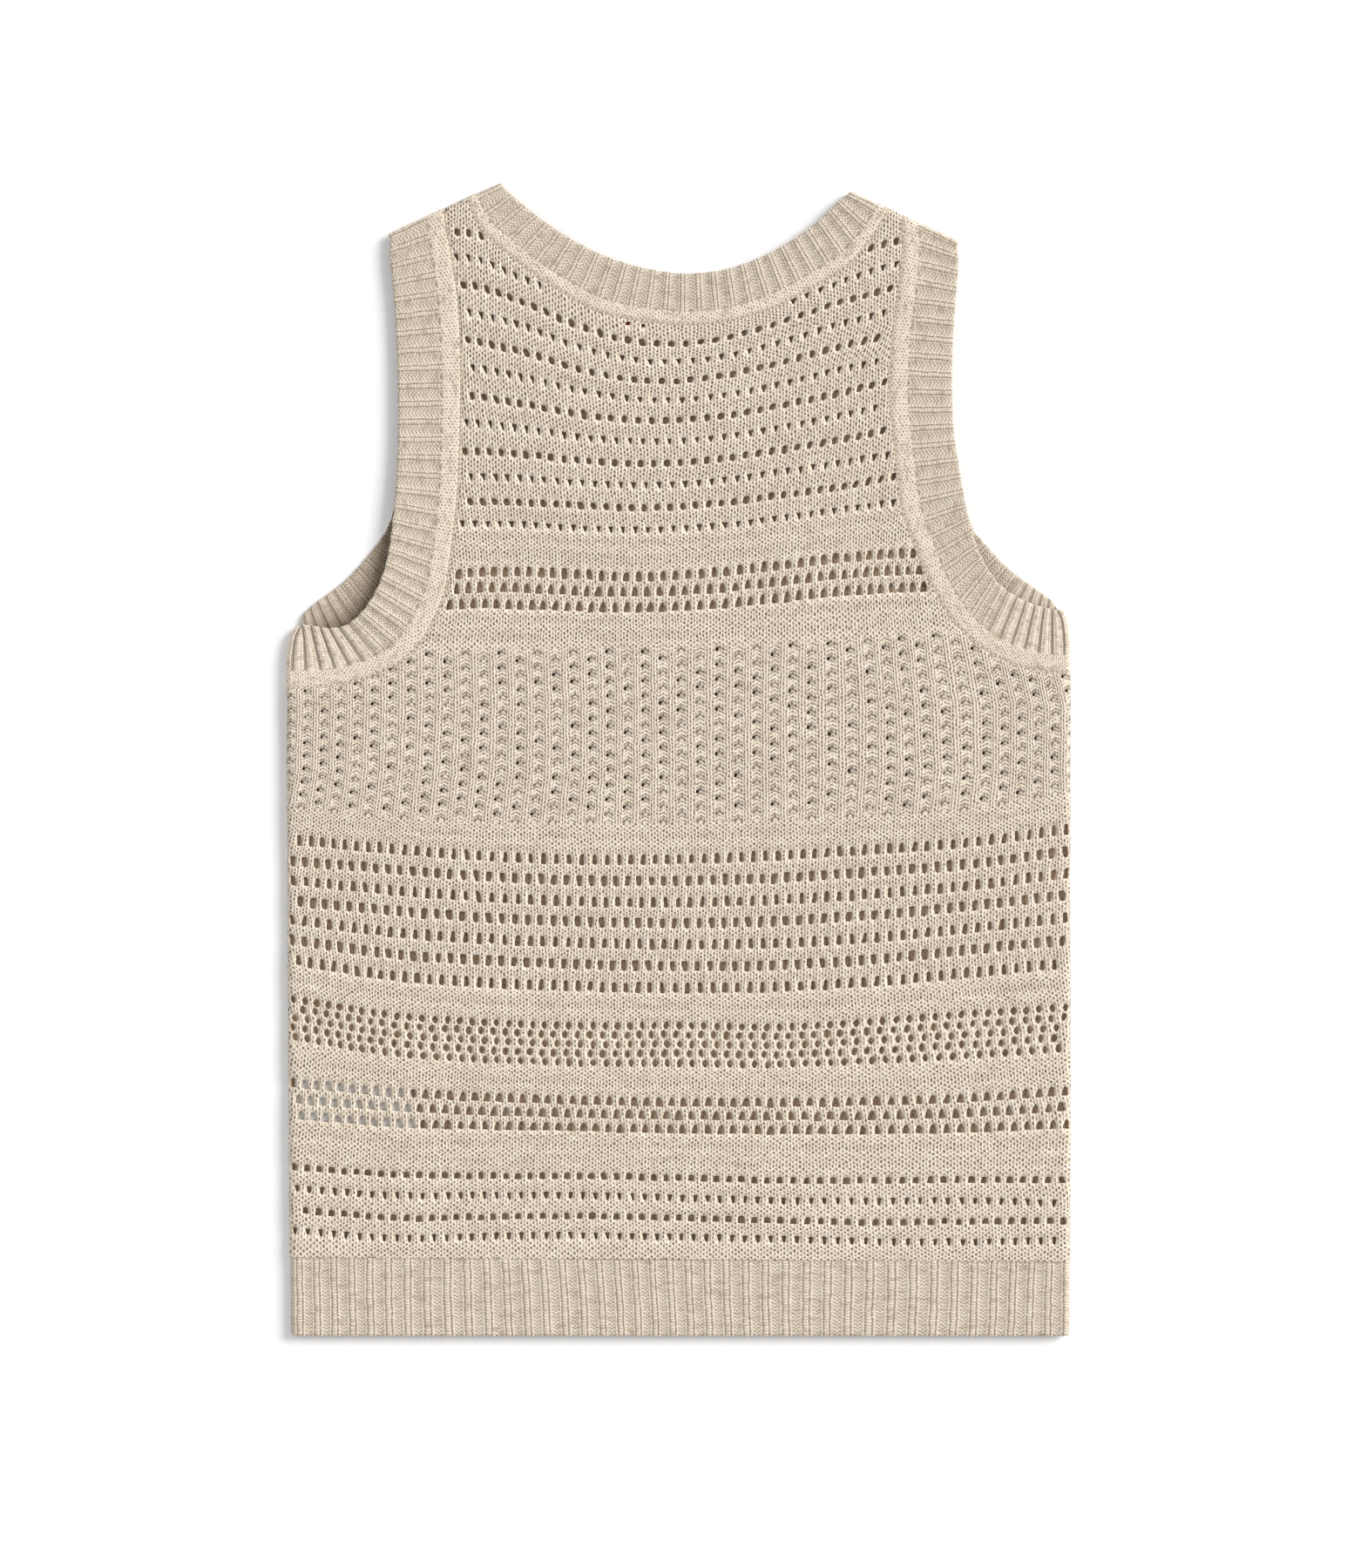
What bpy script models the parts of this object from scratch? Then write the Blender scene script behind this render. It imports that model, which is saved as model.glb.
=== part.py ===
"""Knit tank top laid flat, back panel up.

The garment lies on its front.  The cloth of each piece is a wall of even
thickness with a face towards the outside of the garment and a face towards the
wearer.  The under layer (front panel and the hidden halves of the bands) rests
on the floor at z = 0, the top layer lies above it, and the two layers turn into
each other round the side lines and the shoulder lines.

Frame: x to the right, y towards the shoulders, z up, origin under the middle of
the outline on the floor.  Tables and sizes are in millimetres; meshes in metres.
"""

from collections import namedtuple

import bmesh
import bpy
import numpy as np
from mathutils import Vector

MM = 0.001

# ---------------------------------------------------------------- named sizes
SEAM_GAP = 0.35          # between neighbouring pieces, at every seam
BAND_WALL = 2.6          # doubled-looking rib of the neckband and the armbands
PANEL_WALL = 2.2         # openwork of the body
HEM_WALL = 2.4           # rib of the hem
STACK = 6.4              # height of the two layers together
MID = STACK / 2          # the height at which the layers meet round an edge
HALF_GAP = 0.15          # half the gap between panels that meet at mid height
NECK_LABEL_WALL = 0.4
CARE_LABEL_WALL = 0.3

NECK_STEPS = 18          # sections along the neck, each layer
UNDERARM_STEPS = 8       # sections from the side line to the armhole's turn
ARMHOLE_STEPS = 16       # sections from there to the shoulder
BODY_STEPS = 9           # rows of the body below the armholes
WRAP_STEPS = 4           # steps of a quarter turn round an edge
FOLD_STEPS = 6           # steps of a half turn of a band

Section = namedtuple("Section", "edge_x edge_y seam_x seam_y lift")
SideRow = namedtuple("SideRow", "y left right")
Corner = namedtuple("Corner", "across edge_in")

# ------------------------------------------------------------------ the bands
# One row for each section across a band: where its free edge and its seam lie,
# and how far the free edge stands off the layer below.
#   edge_x  edge_y  seam_x  seam_y  lift
NECK_TOP = [Section(*row) for row in (
    (-102.2, 331.5, -121.2, 322.9, 0.0),     # left shoulder line
    (-93.7, 322.0, -114.2, 306.5, 0.0),
    (-81.2, 311.8, -101.2, 293.5, 0.0),
    (-60.7, 298.0, -75.7, 274.0, 0.0),
    (-39.2, 287.5, -49.7, 259.0, 0.0),
    (-16.2, 281.0, -21.2, 251.8, 0.0),
    (3.3, 278.5, 3.3, 249.8, 0.0),           # lowest point of the back neck
    (24.8, 280.5, 28.3, 251.8, 0.0),
    (45.8, 287.2, 54.8, 259.8, 0.0),
    (65.8, 298.0, 79.8, 273.0, 0.0),
    (82.3, 310.2, 99.8, 286.2, 0.0),
    (91.3, 319.5, 111.3, 300.5, 0.0),
    (98.8, 326.8, 120.8, 316.6, 0.0),        # right shoulder line
)]
NECK_UNDER_DROP = 1.2    # the hidden neckline lies this much lower

#   edge_x  edge_y  seam_x  seam_y  lift
ARM_LEFT_TOP = [Section(*row) for row in (
    (-166.7, 301.5, -135.7, 316.0, 0.0),     # shoulder line
    (-165.7, 291.5, -132.7, 302.5, 0.0),
    (-164.4, 277.5, -129.7, 285.5, 0.0),
    (-162.9, 260.5, -126.7, 266.0, 0.0),
    (-161.7, 240.5, -125.2, 243.5, 0.2),
    (-160.9, 213.0, -124.7, 214.0, 0.5),
    (-160.9, 179.5, -125.4, 179.5, 1.0),
    (-161.7, 161.5, -126.2, 159.0, 1.5),
    (-163.4, 139.5, -128.7, 132.5, 2.2),
    (-165.7, 121.5, -131.7, 110.0, 2.6),
    (-167.7, 111.5, -134.2, 95.5, 3.0),
    (-171.7, 100.0, -139.7, 82.0, 3.0),
    (-177.2, 90.0, -146.7, 69.0, 2.6),
    (-183.7, 82.0, -157.2, 58.0, 2.0),       # the armhole's turn
    (-191.7, 76.2, -171.2, 50.2, 1.4),
    (-200.2, 75.0, -183.7, 45.5, 0.8),
    (-208.7, 76.0, -199.7, 41.8, 0.4),
    (-215.2, 76.8, -210.7, 40.8, 0.0),       # beside the side line
)]
ARM_LEFT_TOP_TURN = 13   # row of the table at the armhole's turn

ARM_LEFT_UNDER = [Section(*row) for row in (
    (-165.7, 300.0, -135.7, 315.5, 0.0),
    (-163.7, 277.5, -129.2, 285.0, 0.0),
    (-161.2, 259.5, -126.2, 265.5, 0.0),
    (-159.9, 213.0, -124.2, 214.0, 0.0),
    (-159.9, 179.5, -124.7, 178.5, 0.0),
    (-162.2, 148.0, -127.7, 139.5, 0.0),
    (-167.7, 131.5, -135.7, 115.5, 0.0),
    (-176.2, 119.0, -148.2, 95.5, 0.0),
    (-183.7, 110.0, -158.2, 83.0, 0.0),
    (-191.7, 102.0, -168.7, 72.0, 0.0),      # the armhole's turn
    (-200.7, 95.0, -181.2, 62.0, 0.0),
    (-210.2, 88.0, -196.7, 50.5, 0.0),
    (-215.7, 82.5, -208.2, 43.0, 0.0),
)]
ARM_LEFT_UNDER_TURN = 9

ARM_RIGHT_TOP = [Section(*row) for row in (
    (161.3, 297.2, 130.3, 312.0, 0.0),       # shoulder line
    (160.7, 285.5, 129.3, 295.0, 0.0),
    (159.8, 270.5, 127.8, 277.0, 0.0),
    (158.3, 252.5, 124.8, 256.5, 0.0),
    (157.3, 226.0, 121.8, 228.5, 0.0),
    (157.3, 204.5, 121.6, 204.5, 0.0),
    (158.3, 186.5, 123.8, 184.5, 0.2),
    (161.3, 166.5, 126.3, 161.0, 0.4),
    (164.1, 150.0, 129.3, 141.0, 0.6),
    (167.8, 134.5, 137.8, 118.0, 0.8),
    (173.3, 117.5, 147.8, 96.0, 0.8),
    (178.8, 107.5, 158.3, 79.0, 0.8),        # the armhole's turn
    (186.3, 98.2, 170.3, 67.0, 0.6),
    (195.8, 92.0, 182.8, 58.5, 0.4),
    (204.8, 88.2, 196.8, 53.0, 0.2),
    (213.3, 85.9, 211.8, 50.0, 0.0),         # beside the side line
)]
ARM_RIGHT_TOP_TURN = 11

ARM_RIGHT_UNDER = [Section(*row) for row in (
    (160.3, 295.5, 130.3, 310.5, 0.0),
    (158.8, 270.5, 127.3, 275.5, 0.0),
    (157.1, 252.5, 124.3, 255.5, 0.0),
    (156.1, 226.0, 121.3, 227.5, 0.0),
    (156.1, 204.5, 120.8, 203.5, 0.0),
    (157.3, 186.5, 122.3, 182.5, 0.0),
    (160.8, 163.0, 126.3, 155.5, 0.0),
    (165.3, 143.0, 132.3, 130.5, 0.0),
    (170.3, 130.5, 139.8, 113.5, 0.0),
    (176.3, 123.5, 149.8, 101.5, 0.0),
    (184.3, 114.5, 160.8, 89.0, 0.0),
    (191.8, 107.5, 171.8, 79.5, 0.0),        # the armhole's turn
    (199.8, 101.5, 183.3, 70.5, 0.0),
    (208.3, 95.5, 198.8, 60.5, 0.0),
    (214.8, 90.5, 210.8, 52.5, 0.0),
)]
ARM_RIGHT_UNDER_TURN = 11

# Where each armband turns over the side line: its free edge and its seam.
#                          edge_x  edge_y  seam_x  seam_y  lift
ARM_LEFT_SIDE = Section(-219.7, 76.2, -225.3, 40.5, 0.0)
ARM_RIGHT_SIDE = Section(221.3, 85.2, 225.3, 49.5, 0.0)

# Lines along a band, from its free edge (0) to its seam (1), and how much of
# the step between edge and seam the side fold has still to go there.
#   across  edge_in
CORNERS = [Corner(*row) for row in (
    (0.0, 1.00),
    (0.15, 0.38),
    (0.45, 0.05),
    (1.0, 0.00),
)]

# ------------------------------------------------------------------- the body
# The side lines, a row for each height.
#   y       left    right
SIDES = [SideRow(*row) for row in (
    (60.0, -225.3, 225.3),
    (-64.5, -224.5, 225.3),
    (-214.5, -223.7, 225.3),
    (-287.5, -222.8, 224.9),
    (-331.3, -222.5, 224.6),
)]
HEM_TOP_LEFT, HEM_TOP_RIGHT = -286.0, -288.5     # where the hem's rib begins
HEM_BOTTOM = -331.3
HEM_UNDER_SHORT = 0.6                            # the hidden hem is this shorter

# --------------------------------------------------------------------- labels
NECK_LABEL_X = (-32.5, 36.0)                     # woven label behind the neckband
NECK_LABEL_Y = (243.5, 269.5)
CARE_LABEL_LEFT = -219.8                         # caught in the left side seam
CARE_LABEL_Y = (-226.5, -176.5)
CARE_LABEL_END_X = (-143.5, -158.0)              # its free end lies askew

# -------------------------------------------------------------------- colours
#                 red    green  blue   roughness
COLOURS = {
    "back_panel": (0.62, 0.53, 0.41, 0.90),
    "front_panel": (0.60, 0.51, 0.39, 0.90),
    "neckband": (0.60, 0.50, 0.38, 0.90),
    "armband_left": (0.60, 0.50, 0.38, 0.90),
    "armband_right": (0.60, 0.50, 0.38, 0.90),
    "back_hem_rib": (0.58, 0.49, 0.37, 0.90),
    "front_hem_rib": (0.58, 0.49, 0.37, 0.90),
    "neck_label": (0.33, 0.03, 0.04, 0.60),
    "care_label": (0.78, 0.78, 0.75, 0.50),
}


# ------------------------------------------------------------ curves and folds
def smooth(rows, at):
    """Points at the fractions `at` of a smooth curve through the rows."""
    rows = np.array(rows, float)
    step = np.linalg.norm(np.diff(rows[:, :4], axis=0), axis=1)
    along = np.concatenate([[0.0], np.cumsum(step)])
    along /= along[-1]
    slope = np.gradient(rows, along, axis=0)
    out = []
    for s in at:
        k = int(np.clip(np.searchsorted(along, s, side="right") - 1, 0, len(rows) - 2))
        h = along[k + 1] - along[k]
        t = (s - along[k]) / h
        out.append(
            (2 * t**3 - 3 * t**2 + 1) * rows[k]
            + (t**3 - 2 * t**2 + t) * h * slope[k]
            + (3 * t**2 - 2 * t**3) * rows[k + 1]
            + (t**3 - t**2) * h * slope[k + 1]
        )
    return np.array(out), along


def side_x(y, which):
    """The left (1) or right (2) side line at the height y."""
    table = np.array(SIDES, float)[::-1]
    return np.interp(y, table[:, 0], table[:, which])


def shoulder_line(sign):
    """A point on the shoulder line and its normal, out of the garment."""
    arm = ARM_LEFT_TOP[0] if sign < 0 else ARM_RIGHT_TOP[0]
    neck = NECK_TOP[0] if sign < 0 else NECK_TOP[-1]
    a = np.array([arm.edge_x, arm.edge_y])
    b = np.array([neck.edge_x, neck.edge_y])
    d = (b - a) / np.linalg.norm(b - a)
    n = np.array([-d[1], d[0]])
    if n[1] < 0:
        n = -n
    return a, n


def to_base(row, sign):
    """A section on the shoulder line, drawn back to where its fold begins."""
    a, n = shoulder_line(sign)
    r = np.array(row, float)
    for i in (0, 2):
        p = r[i:i + 2]
        r[i:i + 2] = p - n * (np.dot(p - a, n) + MID)
    return r


def across(section, corner=0.0):
    """The points of a flat section at each of the lines along the band."""
    edge, seam = np.array(section[0:2]), np.array(section[2:4])
    points = []
    for c in CORNERS:
        p = edge + (seam - edge) * c.across
        if corner:
            p[0] = seam[0] + (edge[0] - seam[0]) * (
                corner * c.edge_in + (1 - corner) * (1 - c.across)
            )
        points.append(p)
    return points


def flat_pair(p, wall, top, lift=0.0):
    """Outer and inner point of a flat wall of the top or the under layer."""
    if top:
        return (p[0], p[1], STACK + lift), (p[0], p[1], STACK - wall + lift)
    return (p[0], p[1], 0.0), (p[0], p[1], wall)


def turned_pair(base, normal, wall, angle, middle=MID):
    """Outer and inner point of a wall that turns over an edge, angle from up."""
    s, c = np.sin(angle), np.cos(angle)
    radius = STACK - middle if middle >= MID else middle
    out = []
    for r in (radius, radius - wall):
        q = base + normal * r * s
        out.append((q[0], q[1], middle + r * c))
    return out[0], out[1]


# ------------------------------------------------------------- mesh assembling
def shell(outer, inner, quads):
    """A closed wall from two point lists and the quads of one face."""
    mesh = bmesh.new()
    a = [mesh.verts.new(Vector(p) * MM) for p in outer]
    b = [mesh.verts.new(Vector(p) * MM) for p in inner]
    sides = {}
    for q in quads:
        mesh.faces.new([a[i] for i in q])
        mesh.faces.new([b[i] for i in reversed(q)])
        for i, j in zip(q, q[1:] + q[:1]):
            key = (min(i, j), max(i, j))
            sides[key] = None if key in sides else (i, j)
    for edge in sides.values():
        if edge:
            i, j = edge
            mesh.faces.new([a[j], a[i], b[i], b[j]])
    bmesh.ops.recalc_face_normals(mesh, faces=mesh.faces)
    return mesh


def ring(sections):
    """A band that closes on itself, from its (outer, inner) sections."""
    outer, inner, quads = [], [], []
    lines, n = len(CORNERS), len(sections)
    for section in sections:
        for o, i in section:
            outer.append(o)
            inner.append(i)
    for k in range(n):
        for c in range(lines - 1):
            p, q = k * lines + c, ((k + 1) % n) * lines + c
            quads.append([p, q, q + 1, p + 1])
    return shell(outer, inner, quads)


def band_fold(bases, normal, up_first):
    """The sections between the layers, over a shoulder or a side line."""
    angles = np.linspace(0, np.pi, FOLD_STEPS + 1)[1:-1]
    if not up_first:
        angles = angles[::-1]
    return [[turned_pair(b, normal, BAND_WALL, t) for b in bases] for t in angles]


def flat_band(sections, top, corner_last=False):
    out = []
    last = len(sections) - 1
    for k, s in enumerate(sections):
        corner = 1.0 if corner_last and k == last else 0.5 if corner_last and k == last - 1 else 0.0
        points = across(s, corner)
        out.append([
            flat_pair(p, BAND_WALL, top, s[4] * (1 - c.across) ** 2)
            for p, c in zip(points, CORNERS)
        ])
    return out


# ------------------------------------------------------------------- neckband
def neck_sections(drop=0.0):
    rows = [to_base(NECK_TOP[0], -1)]
    for s in NECK_TOP[1:-1]:
        rows.append(np.array([s.edge_x, s.edge_y - drop, s.seam_x, s.seam_y - drop, 0.0]))
    rows.append(to_base(NECK_TOP[-1], 1))
    return smooth(rows, np.linspace(0, 1, NECK_STEPS + 1))[0]


def build_neckband():
    top, under = neck_sections(), neck_sections(NECK_UNDER_DROP)
    left, right = shoulder_line(-1)[1], shoulder_line(1)[1]
    sections = flat_band(top, True)
    sections += band_fold(across(top[-1]), right, True)
    sections += flat_band(under, False)[::-1]
    sections += band_fold(across(top[0]), left, False)
    return ring(sections)


# ------------------------------------------------------------------- armbands
def arm_sections(table, turn, sign, side):
    """Sections from the shoulder to the side line, with one at the turn."""
    rows = [to_base(table[0], sign)]
    rows += [np.array(s, float) for s in table[1:]]
    end = np.array(side, float)
    end[0] -= sign * MID
    end[2] -= sign * MID
    rows.append(end)
    along = smooth(rows, [0.0])[1]
    stops = np.concatenate([
        np.linspace(0, along[turn], ARMHOLE_STEPS + 1),
        np.linspace(along[turn], 1, UNDERARM_STEPS + 1)[1:],
    ])
    return smooth(rows, stops)[0]


def arm_tables(sign):
    if sign < 0:
        return (
            arm_sections(ARM_LEFT_TOP, ARM_LEFT_TOP_TURN, -1, ARM_LEFT_SIDE),
            arm_sections([ARM_LEFT_TOP[0]] + ARM_LEFT_UNDER[1:], ARM_LEFT_UNDER_TURN, -1, ARM_LEFT_SIDE),
        )
    return (
        arm_sections(ARM_RIGHT_TOP, ARM_RIGHT_TOP_TURN, 1, ARM_RIGHT_SIDE),
        arm_sections([ARM_RIGHT_TOP[0]] + ARM_RIGHT_UNDER[1:], ARM_RIGHT_UNDER_TURN, 1, ARM_RIGHT_SIDE),
    )


def build_armband(sign):
    top, under = arm_tables(sign)
    sections = flat_band(top, True, True)
    sections += band_fold(across(top[-1], 1.0), np.array([float(sign), 0.0]), True)
    sections += flat_band(under, False, True)[::-1]
    sections += band_fold(across(top[0]), shoulder_line(sign)[1], False)
    return ring(sections)


# --------------------------------------------------------------------- panels
def beside_seam(sections):
    """The seam's points, moved off the band by the gap."""
    seam, edge = sections[:, 2:4], sections[:, 0:2]
    run = np.gradient(seam, axis=0)
    normal = np.stack([-run[:, 1], run[:, 0]], 1)
    normal /= np.linalg.norm(normal, axis=1)[:, None]
    away = np.sign(((seam - edge) * normal).sum(1))[:, None]
    return seam + normal * away * SEAM_GAP


def hem_line(x):
    t = (x - SIDES[-2].left) / (SIDES[-2].right - SIDES[-2].left)
    return HEM_TOP_LEFT + (HEM_TOP_RIGHT - HEM_TOP_LEFT) * t


def build_panel(top):
    """Body up to the armholes' turns, then chest and shoulders above them."""
    which = 0 if top else 1
    middle = MID + HALF_GAP if top else MID - HALF_GAP
    radius = STACK - middle if top else middle
    left = beside_seam(arm_tables(-1)[which])
    right = beside_seam(arm_tables(1)[which])
    neck = beside_seam(neck_sections(0.0 if top else NECK_UNDER_DROP))
    outer, inner, quads = [], [], []

    def add(pair):
        outer.append(pair[0])
        inner.append(pair[1])
        return len(outer) - 1

    def turned(base, normal, angle):
        a = angle if top else np.pi - angle
        return add(turned_pair(base, normal, PANEL_WALL, a, middle))

    # the line under the arms and across the body: x, y of every column
    turn_l, turn_r = left[ARMHOLE_STEPS], right[ARMHOLE_STEPS]
    above = np.vstack([left[0], neck, right[0]])
    share = (above[:, 0] - above[0, 0]) / (above[-1, 0] - above[0, 0])
    cross = turn_l + (turn_r - turn_l) * share[:, None]
    line = np.vstack([left[ARMHOLE_STEPS:][::-1], cross[1:-1], right[ARMHOLE_STEPS:]])
    columns = len(line)

    def body_row(v):
        row = []
        points = []
        for x, y in line:
            low = hem_line(x) + SEAM_GAP / 2
            yy = low + (y - low) * v
            share_x = (x - line[0, 0]) / (line[-1, 0] - line[0, 0])
            xl, xr = side_x(yy, 1) + radius, side_x(yy, 2) - radius
            if v == 1:
                points.append(np.array([x, y]))
            else:
                points.append(np.array([xl + (xr - xl) * share_x, yy]))
        turns = np.linspace(np.pi / 2, 0, WRAP_STEPS + 1)[:-1]
        for t in turns:
            row.append(turned(points[0], np.array([-1.0, 0.0]), t))
        for p in points:
            row.append(add(flat_pair(p, PANEL_WALL, top)))
        for t in turns[::-1]:
            row.append(turned(points[-1], np.array([1.0, 0.0]), t))
        return row

    def join(low, high):
        for j in range(len(low) - 1):
            quads.append([low[j], low[j + 1], high[j + 1], high[j]])

    rows = [body_row(v) for v in np.linspace(0, 1, BODY_STEPS + 1)]
    for low, high in zip(rows, rows[1:]):
        join(low, high)

    # chest and shoulders: between the two armholes, up to the neck
    first = WRAP_STEPS + UNDERARM_STEPS
    below = rows[-1][first:first + len(above)]
    start = below
    for k in range(1, ARMHOLE_STEPS + 1):
        v = k / ARMHOLE_STEPS
        a, b = left[ARMHOLE_STEPS - k], right[ARMHOLE_STEPS - k]
        row = []
        for j, u in enumerate(share):
            p = (
                (1 - v) * cross[j] + v * above[j] + (1 - u) * a + u * b
                - (1 - v) * ((1 - u) * cross[0] + u * cross[-1])
                - v * ((1 - u) * above[0] + u * above[-1])
            )
            row.append(add(flat_pair(p, PANEL_WALL, top)))
        join(start, row)
        start = row

    # the shoulders turn over their lines, between armband and neckband
    for ends, bases, sign in ((start[:2], above[:2], -1), (start[-2:], above[-2:], 1)):
        normal = shoulder_line(sign)[1]
        previous = list(ends)
        for t in np.linspace(0, np.pi / 2, WRAP_STEPS + 1)[1:]:
            row = [turned(b, normal, t) for b in bases]
            join(previous, row)
            previous = row
    return shell(outer, inner, quads)


def build_hem(top):
    middle = MID + HALF_GAP if top else MID - HALF_GAP
    radius = STACK - middle if top else middle
    outer, inner, quads, rows = [], [], [], []
    flat = np.linspace(0, 1, 17)
    for v in (0.0, 0.5, 1.0):
        row = []

        def add(pair):
            outer.append(pair[0])
            inner.append(pair[1])
            row.append(len(outer) - 1)

        bottom = HEM_BOTTOM + (0.0 if top else HEM_UNDER_SHORT)
        points = []
        for u in flat:
            x = SIDES[-2].left + (SIDES[-2].right - SIDES[-2].left) * u
            high = hem_line(x) - SEAM_GAP / 2
            y = bottom + (high - bottom) * v
            xl, xr = side_x(y, 1) + radius, side_x(y, 2) - radius
            points.append(np.array([xl + (xr - xl) * u, y]))
        turns = np.linspace(np.pi / 2, 0, WRAP_STEPS + 1)[:-1]
        for t in turns:
            add(turned_pair(points[0], np.array([-1.0, 0.0]), HEM_WALL, t if top else np.pi - t, middle))
        for p in points:
            add(flat_pair(p, HEM_WALL, top))
        for t in turns[::-1]:
            add(turned_pair(points[-1], np.array([1.0, 0.0]), HEM_WALL, t if top else np.pi - t, middle))
        rows.append(row)
    for low, high in zip(rows, rows[1:]):
        for j in range(len(low) - 1):
            quads.append([low[j], low[j + 1], high[j + 1], high[j]])
    return shell(outer, inner, quads)


# --------------------------------------------------------------------- labels
def build_label(points, z_top, wall):
    outer = [(x, y, z_top) for x, y in points]
    inner = [(x, y, z_top - wall) for x, y in points]
    return shell(outer, inner, [[0, 1, 2, 3]])


def neck_label_points():
    (x0, x1), (y0, y1) = NECK_LABEL_X, NECK_LABEL_Y
    return [(x0, y0), (x1, y0), (x1, y1), (x0, y1)]


def care_label_points():
    (y0, y1), (low, high) = CARE_LABEL_Y, CARE_LABEL_END_X
    return [(CARE_LABEL_LEFT, y0), (low, y0), (high, y1), (CARE_LABEL_LEFT, y1)]


# -------------------------------------------------------------------- objects
def material(name):
    red, green, blue, rough = COLOURS[name]
    m = bpy.data.materials.new(name)
    m.use_nodes = True
    shader = m.node_tree.nodes["Principled BSDF"]
    shader.inputs["Base Color"].default_value = (red, green, blue, 1.0)
    shader.inputs["Roughness"].default_value = rough
    shader.inputs["Metallic"].default_value = 0.0
    m.diffuse_color = (red, green, blue, 1.0)
    return m


def main():
    for o in list(bpy.data.objects):
        bpy.data.objects.remove(o, do_unlink=True)

    pieces = {
        "back_panel": build_panel(True),
        "front_panel": build_panel(False),
        "neckband": build_neckband(),
        "armband_left": build_armband(-1),
        "armband_right": build_armband(1),
        "back_hem_rib": build_hem(True),
        "front_hem_rib": build_hem(False),
        "neck_label": build_label(neck_label_points(), STACK - BAND_WALL - 0.3, NECK_LABEL_WALL),
        "care_label": build_label(care_label_points(), STACK - PANEL_WALL - SEAM_GAP, CARE_LABEL_WALL),
    }
    every = np.array([v.co[:] for mesh in pieces.values() for v in mesh.verts])
    low, high = every.min(0), every.max(0)
    middle = Vector(((low[0] + high[0]) / 2, (low[1] + high[1]) / 2, 0.0))

    root = bpy.data.objects.new("tank_top", None)
    bpy.context.scene.collection.objects.link(root)
    for name, mesh in pieces.items():
        points = np.array([v.co[:] for v in mesh.verts])
        centre = Vector((points.min(0) + points.max(0)) / 2)
        centre.z = 0.0
        for v in mesh.verts:
            v.co -= centre
        data = bpy.data.meshes.new(name)
        mesh.to_mesh(data)
        mesh.free()
        data.shade_smooth()
        data.set_sharp_from_angle(angle=np.radians(40))
        data.materials.append(material(name))
        o = bpy.data.objects.new(name, data)
        bpy.context.scene.collection.objects.link(o)
        o.parent = root
        o.location = centre - middle


main()
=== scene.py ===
"""Looks of the knit tank top: openwork panels, ribbed bands, hem ribs and labels.

Every piece is built here as a closed wall in the space of its CAD node.  Lengths
in the tables are millimetres in the part's own plan, or points of that plan
(half a millimetre each, x to the right, y down), which is how the rows of the
lace were measured.  The meshes are made in metres.
"""

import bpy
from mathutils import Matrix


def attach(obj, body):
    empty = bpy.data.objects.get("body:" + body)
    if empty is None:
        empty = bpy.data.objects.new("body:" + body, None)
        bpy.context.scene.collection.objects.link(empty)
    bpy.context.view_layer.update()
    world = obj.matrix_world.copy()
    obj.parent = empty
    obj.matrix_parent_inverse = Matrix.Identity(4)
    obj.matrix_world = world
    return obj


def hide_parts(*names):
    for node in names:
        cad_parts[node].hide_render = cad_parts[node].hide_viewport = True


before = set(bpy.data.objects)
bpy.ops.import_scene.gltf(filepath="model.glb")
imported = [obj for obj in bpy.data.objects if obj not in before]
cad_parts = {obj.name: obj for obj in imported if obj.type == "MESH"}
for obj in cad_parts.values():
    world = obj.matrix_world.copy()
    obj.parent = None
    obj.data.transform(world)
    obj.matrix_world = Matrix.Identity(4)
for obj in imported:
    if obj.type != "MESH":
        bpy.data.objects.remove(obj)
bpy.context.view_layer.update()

import math
from collections import namedtuple

import bpy
import numpy as np
from mathutils import Vector

MM = 0.001
POINT = 0.5                      # millimetres in one point of the plan
PLAN_X, PLAN_Y = 778.4, 871.0    # the plan's origin, in points
SHIFT_Y = -0.1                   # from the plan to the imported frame

BAND_WALL, PANEL_WALL, HEM_WALL = 2.6, 2.2, 2.4
STACK, MID, HALF_GAP, SEAM_GAP = 6.4, 3.2, 0.15, 0.35
NECK_UNDER_DROP = 1.2

# ------------------------------------------------------------ the part's plan
# free edge x, y, seam x, y and lift of the free edge, a row for each section
NECK_TOP = np.array([
    (-102.2, 331.5, -121.2, 322.9, 0.0), (-93.7, 322.0, -114.2, 306.5, 0.0),
    (-81.2, 311.8, -101.2, 293.5, 0.0), (-60.7, 298.0, -75.7, 274.0, 0.0),
    (-39.2, 287.5, -49.7, 259.0, 0.0), (-16.2, 281.0, -21.2, 251.8, 0.0),
    (3.3, 278.5, 3.3, 249.8, 0.0), (24.8, 280.5, 28.3, 251.8, 0.0),
    (45.8, 287.2, 54.8, 259.8, 0.0), (65.8, 298.0, 79.8, 273.0, 0.0),
    (82.3, 310.2, 99.8, 286.2, 0.0), (91.3, 319.5, 111.3, 300.5, 0.0),
    (98.8, 326.8, 120.8, 316.6, 0.0),
])
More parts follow.
